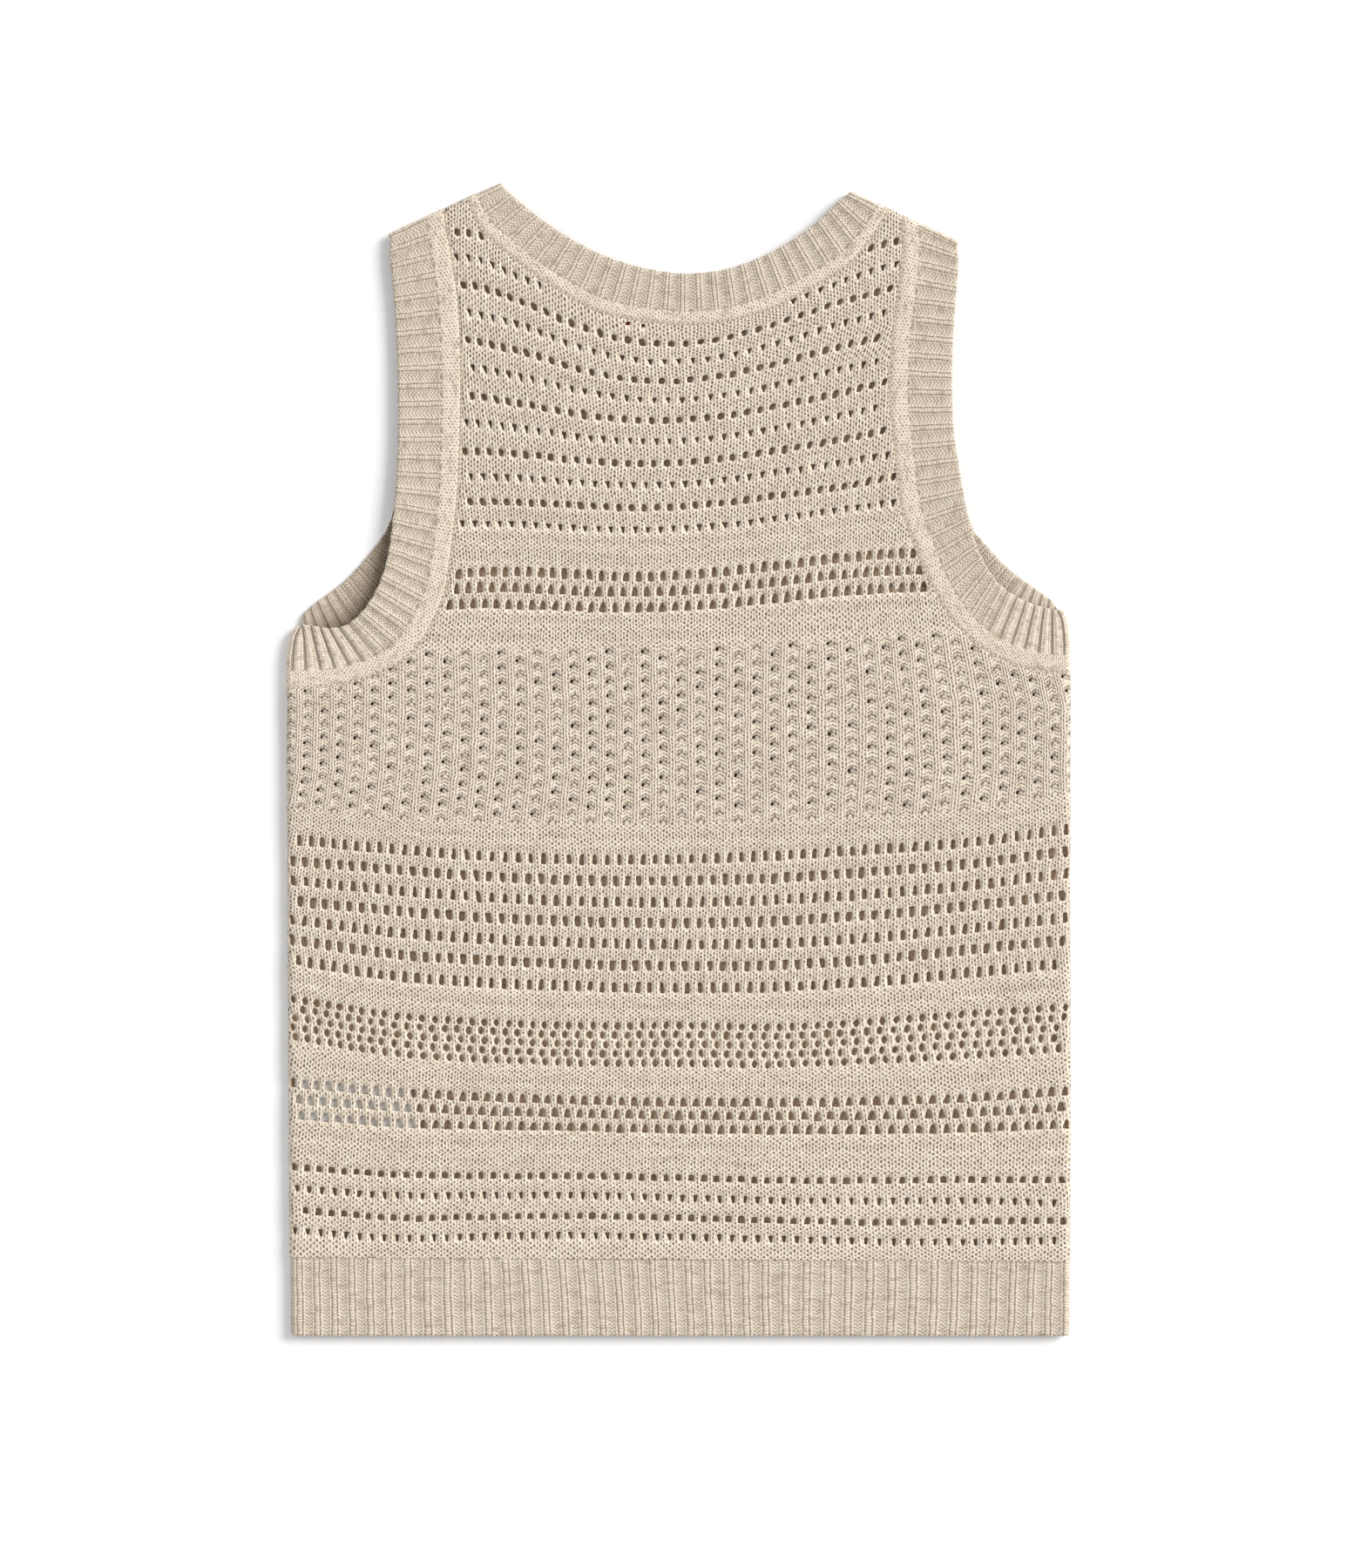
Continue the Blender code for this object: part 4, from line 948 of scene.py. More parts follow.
    # the stitches' coordinates follow the points that were moved
    lc, cc = np.meshgrid(lines, columns, indexing="ij")
    X1, Y1 = mx / POINT + PLAN_X, PLAN_Y - my / POINT
    lc = lc + (Y1 - Y0) / (np.gradient(Y0, axis=0) / np.gradient(lines)[:, None])
    cc = cc + (X1 - X0) / np.gradient(X0, axis=1)

    # relief of the outer face, in millimetres
    middle_y = np.array([row_y(slot[j], 778.4, 0.0) * (1 - share[j]) + row_y(slot[j] + 1, 778.4, 0.0) * share[j] for j in range(J)])
    purl = np.zeros(J)
    for low, high in PURL:
        purl = np.maximum(purl, ease(low - 2.5, low + 0.5, middle_y) * (1 - ease(high - 0.5, high + 2.5, middle_y)))
    in_lace = ((lines > lace_a + 0.2) & (lines < lace_b - 0.2)).astype(float)
    across = cc - ladder
    from_ladder = (across + 3) % 6 - 3
    relief = 0.16 * purl[:, None] + 0.0 * mx
    relief = relief - 0.10 * (1 - purl[:, None]) * (1 - in_lace[:, None])
    relief += in_lace[:, None] * (0.16 - 0.34 * (1 - ease(0.9, 2.1, np.abs(from_ladder))))
    def soften(a):
        p = np.pad(a, 1, mode="edge")
        side = p[:-2, 1:-1] + p[2:, 1:-1] + p[1:-1, :-2] + p[1:-1, 2:]
        return a * 0.5 + side * 0.125

    relief += 0.16 * soften(bar) - 0.42 * soften(rim) * (1 - 0.75 * in_lace[:, None])
    relief += 0.16 * np.sin(mx / 37.0 + 1.3) * np.sin(my / 53.0 + 0.4) + 0.10 * np.sin(mx / 17.0 + my / 29.0)
    relief += rng.normal(0, 0.035, (J, K))
    hem_gap = my - (hem_line(mx) + 0.02)
    dip = 1.10 * (1 - ease(0.1, 1.6, to_seam))
    if under:
        relief = np.minimum(relief - 0.30, 0.0)
        dip *= 0.5
    relief -= dip
    relief_in = -0.10 - 1.05 * rim + rng.normal(0, 0.03, (J, K))

    base, normal, angle = wrap(mx.ravel(), my.ravel())
    radius = STACK - MID - HALF_GAP
    sign, level = (1.0, MID + HALF_GAP) if not under else (-1.0, MID - HALF_GAP)

    def place(r):
        flat = base + normal * (r * np.sin(angle))[:, None]
        return np.column_stack([flat, level + sign * r * np.cos(angle)])

    outer_r = radius + relief.ravel()
    inner_r = np.minimum(radius - PANEL_WALL - relief_in.ravel(), outer_r - 0.25)
    outer, inner = place(outer_r), place(inner_r)

    knit = np.column_stack([cc.ravel() / 2.0, lc.ravel(), np.repeat(purl, K)])
    lace_field = np.repeat(in_lace, K)
    extra = np.column_stack([across.ravel(), np.zeros((J * K, 2))])

    # pieces between the cuts
    edges = [0] + [int(np.abs(lines - c).argmin()) for c in cuts] + [J - 1]
    pieces = []
    for piece, (j0, j1) in zip(splits, zip(edges, edges[1:])):
        mask = np.zeros_like(cell)
        mask[j0:j1] = cell[j0:j1]
        jj, kk = np.nonzero(mask)
        v00, v10 = jj * K + kk, (jj + 1) * K + kk
        v11, v01 = v10 + 1, v00 + 1
        face = np.stack([v00, v10, v11, v01], 1)
        walls = []
        pad = np.pad(mask, 1)
        here = pad[1:-1, 1:-1]
        for dj, dk, ia, ib in ((-1, 0, 3, 0), (1, 0, 1, 2), (0, -1, 0, 1), (0, 1, 2, 3)):
            open_side = here & ~pad[1 + dj:J + dj, 1 + dk:K + dk]
            at = open_side[jj, kk]
            walls.append(np.stack([face[at, ia], face[at, ib]], 1))
        walls = np.concatenate(walls)
        used_v = np.unique(face)
        index = np.full(J * K, -1)
        index[used_v] = np.arange(len(used_v))
        count = len(used_v)
        f = index[face]
        w = index[walls]
        if under:
            top_faces, low_faces = f[:, ::-1], f + count
            wall_faces = np.stack([w[:, 0], w[:, 1], w[:, 1] + count, w[:, 0] + count], 1)
        else:
            top_faces, low_faces = f, f[:, ::-1] + count
            wall_faces = np.stack([w[:, 1], w[:, 0], w[:, 0] + count, w[:, 1] + count], 1)
        quads = np.concatenate([top_faces, low_faces, wall_faces])
        points = np.concatenate([outer[used_v], inner[used_v]])
        # bake map: the outer face full size, the inner one at half size below it
        flat = np.stack([mx.ravel(), my.ravel()], 1)[used_v]
        lo, hi = flat.min(0) - 2.0, flat.max(0) + 2.0
        size = max(hi[0] - lo[0], (hi[1] - lo[1]) * 1.5)
        uv_out = (flat - lo) / size
        uv_in = (flat - lo) / size * 0.5 + np.array([0.0, 0.995 - (hi[1] - lo[1]) / size * 0.5])
        hole_at = centre.reshape(-1, 2)[used_v]
        solid = np.isnan(hole_at[:, 0])
        middle = flat.mean(0)
        away = flat - middle
        away /= np.linalg.norm(away, axis=1)[:, None] + 1e-9
        hole_at = np.where(solid[:, None], flat + away * 1.2, flat + (hole_at - flat) * 0.6)
        uv_wall = (hole_at - lo) / size
        table = np.concatenate([uv_out, uv_in])
        uv = table[np.concatenate([top_faces, low_faces])]
        q = w[:, ::-1] if not under else w
        uv_w = np.stack([uv_out[q[:, 0]], uv_out[q[:, 1]], uv_wall[q[:, 1]], uv_wall[q[:, 0]]], 1)
        uv = np.concatenate([uv, uv_w]).reshape(-1, 2)
        # the inner faces get the full painted shade
        inside = np.concatenate([np.zeros(count), np.ones(count)])
        place_field = np.column_stack([np.tile(lace_field[used_v], 2), inside, np.tile(rim.ravel()[used_v], 2)])
        sharp = np.zeros(2 * count, bool)
        jv = used_v // K
        split = np.zeros(count, bool)
        if j0 != 0:
            split |= jv == j0
        if j1 != J - 1:
            split |= jv == j1
        split |= (hem_gap.ravel()[used_v] < 0.12) & snap.ravel()[used_v]
        sharp[:count] = sharp[count:] = split
        fields = {"knit": np.tile(knit[used_v], (2, 1)), "place": place_field,
                  "ladder": np.tile(extra[used_v], (2, 1))}
        o = mesh_piece(piece, points, quads, uv, fields, sharp)
        o["flat_area"] = float(sum_area(flat_cells(mx, my, mask)))
        print(piece, "triangles", 2 * len(quads))
        pieces.append((o, flat.min(0), flat.max(0)))
    return pieces


def flat_cells(mx, my, mask):
    jj, kk = np.nonzero(mask)
    p = [np.stack([mx[a, b], my[a, b]], 1) for a, b in ((jj, kk), (jj + 1, kk), (jj + 1, kk + 1), (jj, kk + 1))]
    d1, d2 = p[2] - p[0], p[3] - p[1]
    return np.abs(d1[:, 0] * d2[:, 1] - d1[:, 1] * d2[:, 0]) / 2


def sum_area(cells):
    return cells.sum() * MM * MM


# ---------------------------------------------------------------------- bands
# Points round a band's section: measured from the free edge (e), from the seam
# (s) or as a share of the width (t), and their depth below the outer face.
def section_points(wall):
    tip = wall / 2
    return (
        [("s", 0.0, 1.0), ("s", 0.4, 0.32), ("s", 1.1, 0.0)]
        + [("t", t, 0.0) for t in (0.91, 0.85, 0.79, 0.73, 0.66, 0.58, 0.48, 0.38, 0.28, 0.19, 0.11)]
        + [("e", 1.5, 0.0), ("e", 0.55, 0.18), ("e", 0.12, 0.68), ("e", 0.0, tip)]
        + [("e", 0.12, wall - 0.68), ("e", 0.55, wall - 0.18), ("e", 1.5, wall)]
        + [("t", t, wall) for t in (0.12, 0.25, 0.4, 0.55, 0.7, 0.85)]
        + [("s", 1.1, wall), ("s", 0.4, wall - 0.3), ("s", 0.0, wall - 0.9)]
    )


def across_share(points, width, scallop):
    """t of each section point for each section, (sections, points)."""
    t = np.empty((len(width), len(points)))
    for i, (kind, value, _) in enumerate(points):
        if kind == "t":
            t[:, i] = value
        elif kind == "e":
            t[:, i] = (value - scallop) / width
        else:
            t[:, i] = 1 - value / width
    return t


class Band:
    """A closed band: top layer, fold, under layer, fold."""

    def __init__(self, top, under, first, last, arm):
        self.top, self.under = top, under
        self.normal_last, self.normal_first = last, first
        self.arm = arm
        self.parts = [("top", 300.0), ("fold_last", 20.0), ("under", 300.0), ("fold_first", 20.0)]

    def corner(self, s, rows, turn):
        if not self.arm:
            return np.zeros_like(s)
        along = along_of(rows)[turn]
        q = ARMHOLE_STEPS + (s - along) / (1 - along) * UNDERARM_STEPS
        return np.clip((q - (ARMHOLE_STEPS + UNDERARM_STEPS - 2)) / 2, 0, 1)

    def plan(self, sections, t, corner):
        edge, seam = sections[:, None, 0:2], sections[:, None, 2:4]
        p = edge + (seam - edge) * t[..., None]
        if self.arm:
            edge_in = np.interp(np.clip(t, 0, 1), CORNER_ACROSS, CORNER_EDGE_IN)
            c = corner[:, None]
            x = seam[..., 0] + (edge[..., 0] - seam[..., 0]) * (c * edge_in + (1 - c) * (1 - t))
            p[..., 0] = np.where(c > 0, x, p[..., 0])
        return p

    def at(self, q, t, depth):
        """Points for ring positions q (0..4, a unit for each part)."""
        q = np.mod(q, 4.0)
        part = np.floor(q).astype(int)
        f = q - part
        out = np.empty(t.shape + (3,))
        for k in range(4):
            m = part == k
            if not m.any():
                continue
            fm, tm, dm = f[m], t[m], depth[m]
            if k in (0, 2):
                rows, turn = (self.top if k == 0 else self.under)
                s = fm if k == 0 else 1 - fm
                sec = smooth(rows, s)
                p = self.plan(sec, tm, self.corner(s, rows, turn))
                out[m, :, :2] = p
                lift = sec[:, 4:5] * (1 - np.clip(tm, 0, 1)) ** 2
                out[m, :, 2] = STACK + lift - dm if k == 0 else dm
            else:
                rows, turn = self.top
                s = np.ones(m.sum()) if k == 1 else np.zeros(m.sum())
                sec = smooth(rows, s)
                p = self.plan(sec, tm, self.corner(s, rows, turn))
                normal = self.normal_last if k == 1 else self.normal_first
                angle = (fm if k == 1 else 1 - fm)[:, None] * math.pi
                r = MID - dm
                out[m, :, :2] = p + normal * (r * np.sin(angle))[..., None]
                out[m, :, 2] = MID + r * np.cos(angle)
        return out

    def width(self, q):
        t = np.tile([[0.0, 1.0]], (len(q), 1))
        p = self.at(q, t, np.zeros_like(t))
        return np.linalg.norm(p[:, 1, :2] - p[:, 0, :2], axis=1)


def rib_steps(half, close=True):
    """Phases of the sections in a rib: trough, cord, dark line, chain."""
    rest = 0.5 - half
    if close:
        f = np.array([0.0, half * 0.62, half, half + rest * 0.17, half + rest * 0.43, half + rest * 0.66, 0.5])
    else:
        f = np.array([0.0, half * 0.75, half + rest * 0.17, half + rest * 0.55, 0.5])
    return np.concatenate([f, 1 - f[1:-1][::-1]])


def rib_profile(off, half):
    """How far a rib's section is sunk, as a share, and the share of its dark line's groove."""
    rest = 0.5 - half
    inner = np.clip(off / half, 0, 1)
    sunk = np.interp(inner, (0, 0.62, 1), (1.0, 0.93, 0.55))
    outer = (off - half) / rest
    sunk = np.where(off > half, 0.55 * (1 - np.clip(outer / 0.17, 0, 1)), sunk)
    groove = np.clip(1 - np.abs(outer - 0.43) / 0.24, 0, 1)
    return sunk, groove


def build_band(name, band, pitch_of, anchor, trough_end, half_of, painted_shade, wall=BAND_WALL):
    """Rib sections are set by the arc length at the band's middle."""
    dense = np.concatenate([
        np.linspace(0, 1, 400, endpoint=False), 1 + np.linspace(0, 1, 24, endpoint=False),
        2 + np.linspace(0, 1, 400, endpoint=False), 3 + np.linspace(0, 1, 25)])
    t = np.full((len(dense), 1), 0.42)
    line = band.at(np.minimum(dense, 3.9999), t, np.full_like(t, 0.8))[:, 0]
    step = np.linalg.norm(np.diff(line, axis=0), axis=1)
    length = np.concatenate([[0], np.cumsum(step)])
    rate = 1 / pitch_of(dense)
    ribs = np.concatenate([[0], np.cumsum(step * (rate[1:] + rate[:-1]) / 2)])
    total = round(ribs[-1])
    ribs *= total / ribs[-1]
    start = np.interp(anchor, dense, ribs)
    start -= math.floor(start)
    phases_out = []
    for n in range(total):
        mid_q = np.interp((n + start) % total, ribs, dense)
        half = float(half_of(np.array([mid_q]))[0])
        phases_out += [n + start + x for x in rib_steps(half)]
    phase = np.array(phases_out)
    q = np.interp(np.mod(phase, total), ribs, dense)
    half = half_of(q)
    off = np.abs(np.mod(phase - start + 0.5, 1) - 0.5)
    points = section_points(wall)
    width = band.width(q)
    sunk, groove = rib_profile(off, half)
    knit = 1 - sunk                                       # 0 in troughs, 1 on ribs
    scallop = 0.30 * (knit - 0.5) + 0.12 * random.normal(size=len(q)) * 0.5
    t = across_share(points, width, scallop)
    depth = np.array([p[2] for p in points])[None].repeat(len(q), 0)
    rib_here = 1 - ease(trough_end - 0.05, trough_end + 0.03, t)
    deep = 0.50 + 0.35 * (1 - ease(0.10, 0.22, half))
    dent = (sunk * (deep + 0.06) + groove * 0.40)[:, None] * rib_here
    n_out = next(i for i, p in enumerate(points) if p[0] == "e" and p[1] == 0.0)
    side_out = np.arange(len(points)) < n_out
    side_in = np.arange(len(points)) > n_out
    rough = random.normal(0, 0.03, depth.shape)
    depth = depth + side_out * (dent + 0.06 + rough)
    depth = depth - side_in * (knit[:, None] * 0.42 * rib_here + 0.08 + rough)
    depth = np.clip(depth, 0.02, wall - 0.02)
    at = band.at(q, t, depth)
    n, m = depth.shape
    index = np.arange(n * m).reshape(n, m)
    a, b = index, np.roll(index, -1, axis=0)
    quads = np.stack([a, np.roll(a, -1, 1), np.roll(b, -1, 1), b], -1)
    # bake map: the ring cut in four lengths, one above the other
    loop_d = np.concatenate([[0], np.cumsum([2.0] * (m))])
    around = np.concatenate([[0.0], np.cumsum(np.linalg.norm(np.diff(at[0], axis=0), axis=1)), [0.0]])
    around[-1] = around[-2] + np.linalg.norm(at[0, -1] - at[0, 0])
    l_at = np.interp(q, dense, length)
    l_full = np.append(l_at, l_at[0] + length[-1])
    l_full = np.maximum.accumulate(np.where(np.arange(n + 1) > 0, l_full + (l_full < l_full[0]) * length[-1], l_full))
    l_full -= l_full[0]
    quarter = length[-1] / 4 * 1.02
    tall = around[-1] * 1.04
    block = np.minimum((l_full[:-1] // quarter).astype(int), 3)
    size = max(quarter * 1.05, tall * 4)
    u0, u1 = (l_full[:-1] - block * quarter) / size, (l_full[1:] - block * quarter) / size
    v = around / size
    uv = np.empty((n, m, 4, 2))
    uv[:, :, 0, 0] = uv[:, :, 1, 0] = u0[:, None]
    uv[:, :, 2, 0] = uv[:, :, 3, 0] = u1[:, None]
    lift = (block * tall / size)[:, None]
    uv[:, :, 0, 1] = uv[:, :, 3, 1] = v[None, :-1] + lift
    uv[:, :, 1, 1] = uv[:, :, 2, 1] = v[None, 1:] + lift
    uv += 0.01
    uv *= 0.98
    edge = np.clip(t, 0, 1.2) * width[:, None]
    ph = phase - start
    rib = np.stack([np.repeat(ph[:, None], m, 1), edge, np.repeat(half[:, None], m, 1)], -1)
    past = (t - trough_end) * width[:, None]
    # painted shade on the band's inner faces: a base amount for each band, more near the top layer's free edge, that
    # extra fading out at the far left
    inside = np.repeat((side_in | (np.arange(m) == n_out))[None].astype(float), n, 0)
    lip = smooth(band.top[0], np.linspace(0, 1, 160))[:, :2]
    away = np.sqrt(((at[:, :, None, :2] - lip) ** 2).sum(-1).min(-1))
    inside *= painted_shade[0] + painted_shade[1] * np.exp(-(away / 10.0) ** 2) * (0.15 + 0.85 * ease(-218.0, -197.0, at[..., 0]))
    place = np.stack([past, inside, np.zeros_like(past)], -1)
    # the ring closes on a whole rib: the last sections carry on into a copy of the first
    at, rib, place = (np.concatenate([a, a[:1]]) for a in (at, rib, place))
    rib[-1, :, 0] += total
    index = np.arange((n + 1) * m).reshape(n + 1, m)
    a, b = index[:-1], index[1:]
    quads = np.stack([a, np.roll(a, -1, 1), np.roll(b, -1, 1), b], -1)
    all_at, all_quads, all_uv = [at.reshape(-1, 3)], [quads.reshape(-1, 4)[:, ::-1]], [uv.reshape(-1, 4, 2)[:, ::-1] * (1, 0.93)]
    all_rib, all_place = [rib.reshape(-1, 3)], [place.reshape(-1, 3)]
    chain, chain_quads, chain_uv, chain_rib = seam_chain(band, dense, length)
    all_at.append(chain)
    all_quads.append(chain_quads + len(all_at[0]))
    all_uv.append(chain_uv)
    all_rib.append(chain_rib)
    all_place.append(np.tile([9.0, 0.0, 1.0], (len(chain), 1)))
    o = mesh_piece(name, np.concatenate(all_at), np.concatenate(all_quads), np.concatenate(all_uv).reshape(-1, 2),
                   {"rib": np.concatenate(all_rib), "place": np.concatenate(all_place)})
    close_ring(o, n, m)
    area = float(np.sum(np.interp(q, dense, np.gradient(length, dense)) * 0) + length[-1] * width.mean()) * MM * MM
    print(name, "triangles", 2 * quads.shape[0] * m, "ribs", total, "length", round(length[-1], 1))
    return o, length[-1], float(width.mean()), area


def close_ring(o, n, m):
    """Makes the ring's two ends share their normals, since their points lie on each other."""
    me = o.data
    normals = np.empty(len(me.vertices) * 3, np.float32)
    me.vertices.foreach_get("normal", normals)
    normals = normals.reshape(-1, 3)
    both = normals[:m] + normals[n * m:(n + 1) * m]
    both /= np.linalg.norm(both, axis=1)[:, None] + 1e-9
    normals[:m] = normals[n * m:(n + 1) * m] = both
    me.normals_split_custom_set_from_vertices([tuple(v) for v in normals])


def seam_chain(band, dense, length):
    """The linking stitch: a low chain in the groove between the band and the body."""
    pitch = 2.6
    count = int(length[-1] / pitch) * 2
    q = np.interp(np.linspace(0, length[-1], count, endpoint=False), length, dense)
    n, m = len(q), 8
    width = band.width(q)
    turn = np.arange(m) / m * 2 * math.pi
    knot = 1 + 0.10 * np.where(np.arange(n) % 2 == 0, 1, -1)
    side = (0.30 + 0.86 * np.cos(turn))[None] * np.ones((n, 1)) * knot[:, None] + random.normal(0, 0.06, (n, 1))
    depth = 0.62 - 0.40 * np.sin(turn)[None] * knot[:, None] + random.normal(0, 0.03, (n, 1))
    t = 1 + side / width[:, None]
    at = band.at(q, t, depth)
    at = np.concatenate([at, at[:1]])
    index = np.arange((n + 1) * m).reshape(n + 1, m)
    a, b = index[:-1], index[1:]
    quads = np.stack([a, np.roll(a, -1, 1), np.roll(b, -1, 1), b], -1)
    rib = np.stack([np.repeat(np.arange(n + 1)[:, None] / 2.0, m, 1), np.repeat(np.cos(turn)[None], n + 1, 0),
                    np.full((n + 1, m), 0.2)], -1)
    rows = 6
    row = np.minimum(np.arange(n) * rows // n, rows - 1)
    first = np.array([np.argmax(row == k) for k in range(rows)])
    per = math.ceil(n / rows) + 1
    u0 = (np.arange(n) - first[row]) / per
    uv = np.empty((n, m, 4, 2))
    uv[:, :, 0, 0] = uv[:, :, 1, 0] = u0[:, None]
    uv[:, :, 2, 0] = uv[:, :, 3, 0] = (u0 + 1 / per)[:, None]
    v0 = (0.935 + row * 0.0105)[:, None] + np.arange(m)[None] * 0.0012
    uv[:, :, 0, 1] = uv[:, :, 3, 1] = v0
    uv[:, :, 1, 1] = uv[:, :, 2, 1] = v0 + 0.0012
    return at.reshape(-1, 3), quads.reshape(-1, 4)[:, ::-1], uv.reshape(-1, 4, 2)[:, ::-1], rib.reshape(-1, 3)


# ------------------------------------------------------------------ hem ribs
def build_hem(name, under):
    crests = np.array(HEM_CRESTS, float)
    troughs = (crests[1:] + crests[:-1]) / 2
    phase_at = np.arange(len(troughs), dtype=float)
    bottom = HEM_BOTTOM + (0.6 if under else 0.0)
    left, right = SIDES[0, 1], SIDES[0, 2]
    start = float(np.interp(to_points_x(left), troughs, phase_at))
    stop = float(np.interp(to_points_x(right), troughs, phase_at))
    half = 0.225
    phase = (np.arange(0, len(troughs))[:, None] + rib_steps(half, not under)[None]).ravel()
    phase = phase[(phase > start + 0.04) & (phase < stop - 0.04)]
    phase = np.concatenate([[start], phase, [stop]])
    x0 = np.interp(phase, phase_at, troughs)
    x0[0], x0[-1] = to_points_x(left), to_points_x(right)
    if under:
        phase = phase + 0.37
    wall = HEM_WALL
    rows = (
        [("s", 0.0, 0.12), ("s", 0.3, 0.06), ("s", 0.9, 0.04), ("s", 2.0, 0.0)]
        + [("t", t, 0.0) for t in (0.90, 0.84, 0.76, 0.67, 0.58, 0.49, 0.40, 0.31, 0.22, 0.14, 0.08)]
        + [("e", 1.6, 0.0), ("e", 0.6, 0.16), ("e", 0.12, 0.62), ("e", 0.0, wall / 2)]
        + [("e", 0.12, wall - 0.62), ("e", 0.6, wall - 0.16), ("e", 1.6, wall)]
        + [("t", t, wall) for t in (0.1, 0.25, 0.4, 0.55, 0.7, 0.85)]
        + [("s", 0.8, wall), ("s", 0.0, wall - 0.25)]
    )
    off = np.abs(np.mod(phase + 0.5, 1) - 0.5)
    sunk, groove = rib_profile(off, np.full(len(off), half))
    knit = 1 - sunk
    xm = (x0 - PLAN_X) * POINT
    top = hem_line(xm) - 0.02
    width = top - bottom
    scallop = 0.22 * (knit - 0.5) + random.normal(0, 0.05, len(xm))
    t = across_share(rows, width, scallop)
    n, m = t.shape
    depth = np.array([r[2] for r in rows])[None].repeat(n, 0)
    tip = next(i for i, r in enumerate(rows) if r[0] == "e" and r[1] == 0.0)
    out, inn = np.arange(m) < tip, np.arange(m) > tip
    start_here = 1 - ease(0.985, 1.01, t) * 0.6
    rough = random.normal(0, 0.03, (n, m))
    depth = depth + out * ((sunk[:, None] * 0.48 + groove[:, None] * 0.40) * start_here + 0.06 + rough)
    depth = depth - inn * (knit[:, None] * 0.38 + 0.06 + rough)
    depth = np.clip(depth, 0.02, wall - 0.02)
    # ribs lean a little, as the cloth was laid
    lean = -np.interp(x0, *HEM_LEAN) * POINT
    edge_fade = np.minimum(ease(0, 12, xm - xm[0]), ease(0, 12, xm[-1] - xm))
    y = bottom + width[:, None] * t
    wave = 0.35 * np.sin(y / 9.0 + xm[:, None] / 31.0) * edge_fade[:, None]
    x = xm[:, None] + (lean * edge_fade)[:, None] * (t - 0.5) + wave * 0.6
    share = (x - xm[0]) / (xm[-1] - xm[0])
    xl, xr = side_x(y, 1), side_x(y, 2)
    x = xl + (xr - xl) * share
    base, normal, angle = wrap(x.ravel(), y.ravel())
    radius = MID - HALF_GAP
    sign, level = (1.0, MID + HALF_GAP) if not under else (-1.0, MID - HALF_GAP)
    r = radius - depth.ravel()
    flat = base + normal * (r * np.sin(angle))[:, None]
    points = np.column_stack([flat, level + sign * r * np.cos(angle)])
    index = np.arange(n * m).reshape(n, m)
    a, b = index[:-1], index[1:]
    quads = np.stack([a, np.roll(a, -1, 1), np.roll(b, -1, 1), b], -1).reshape(-1, 4)
    caps = []
    for col, flip in ((0, False), (n - 1, True)):
        ids = index[col]
        i, j = 0, m - 1
        while j - i >= 3:
            q = [ids[i], ids[j], ids[j - 1], ids[i + 1]]
            caps.append(q[::-1] if flip else q)
            i, j = i + 1, j - 1
        if j - i == 2:
            q = [ids[i], ids[j], ids[i + 1]]
            caps.append((q[::-1] if flip else q))
    tri = [c for c in caps if len(c) == 3]
    caps = [c for c in caps if len(c) == 4]
    around = np.concatenate([[0.0], np.cumsum(np.abs(np.diff(y[0])) + np.abs(np.diff(depth[0])))])
    around = np.append(around, around[-1] + 1.2)
    tall = around[-1] * 1.05
    span = xm[-1] - xm[0]
    blocks = 4
    quarter = span / blocks * 1.02
    size = max(quarter * 1.06, tall * blocks)
    pos = xm - xm[0]
    block = np.minimum((pos[:-1] // quarter).astype(int), blocks - 1)
    u0, u1 = (pos[:-1] - block * quarter) / size, (pos[1:] - block * quarter) / size
    uv = np.empty((n - 1, m, 4, 2))
    uv[:, :, 0, 0] = uv[:, :, 1, 0] = u0[:, None]
    uv[:, :, 2, 0] = uv[:, :, 3, 0] = u1[:, None]
    lift = (block * tall / size)[:, None]
    uv[:, :, 0, 1] = uv[:, :, 3, 1] = around[None, :-1] / size + lift
    uv[:, :, 1, 1] = uv[:, :, 2, 1] = around[None, 1:] / size + lift
    uv = uv.reshape(-1, 4, 2)
    if caps:
        cap_uv = np.zeros((len(caps), 4, 2))
        for c in range(len(caps)):
            cap_uv[c] = np.array([[0.0, 0.0], [0.002, 0.0], [0.002, 0.002], [0.0, 0.002]]) + 0.0025 * (c % 30) * np.array([1, 0]) + np.array([0.0, 0.992])
        uv = np.concatenate([uv, cap_uv])
        quads = np.concatenate([quads, np.array(caps)])
    turn = not under
    if not turn:
        quads, uv = quads[:, ::-1], uv[:, ::-1]
    edge = (y - bottom)
    rib = np.stack([np.repeat(phase[:, None], m, 1), edge, np.full((n, m), half)], -1)
    # the hem's inner faces get a fifth of the painted shade
    inside = np.repeat((inn | (np.arange(m) == tip))[None].astype(float), n, 0) * 0.2
    place = np.stack([np.minimum((t - 1.03) * width[:, None], -2.0 + 0 * t), inside, 0 * t], -1)
    sharp = np.repeat((np.arange(m) % (m - 1) == 0)[None], n, 0).ravel()
    o = mesh_piece(name, points, quads, (uv * 0.98 + 0.005).reshape(-1, 2),
                   {"rib": rib.reshape(-1, 3), "place": place.reshape(-1, 3)}, sharp)
    print(name, "triangles", 2 * len(quads))
    return o, float(width.mean())


def to_points_x(mm):
    return mm / POINT + PLAN_X


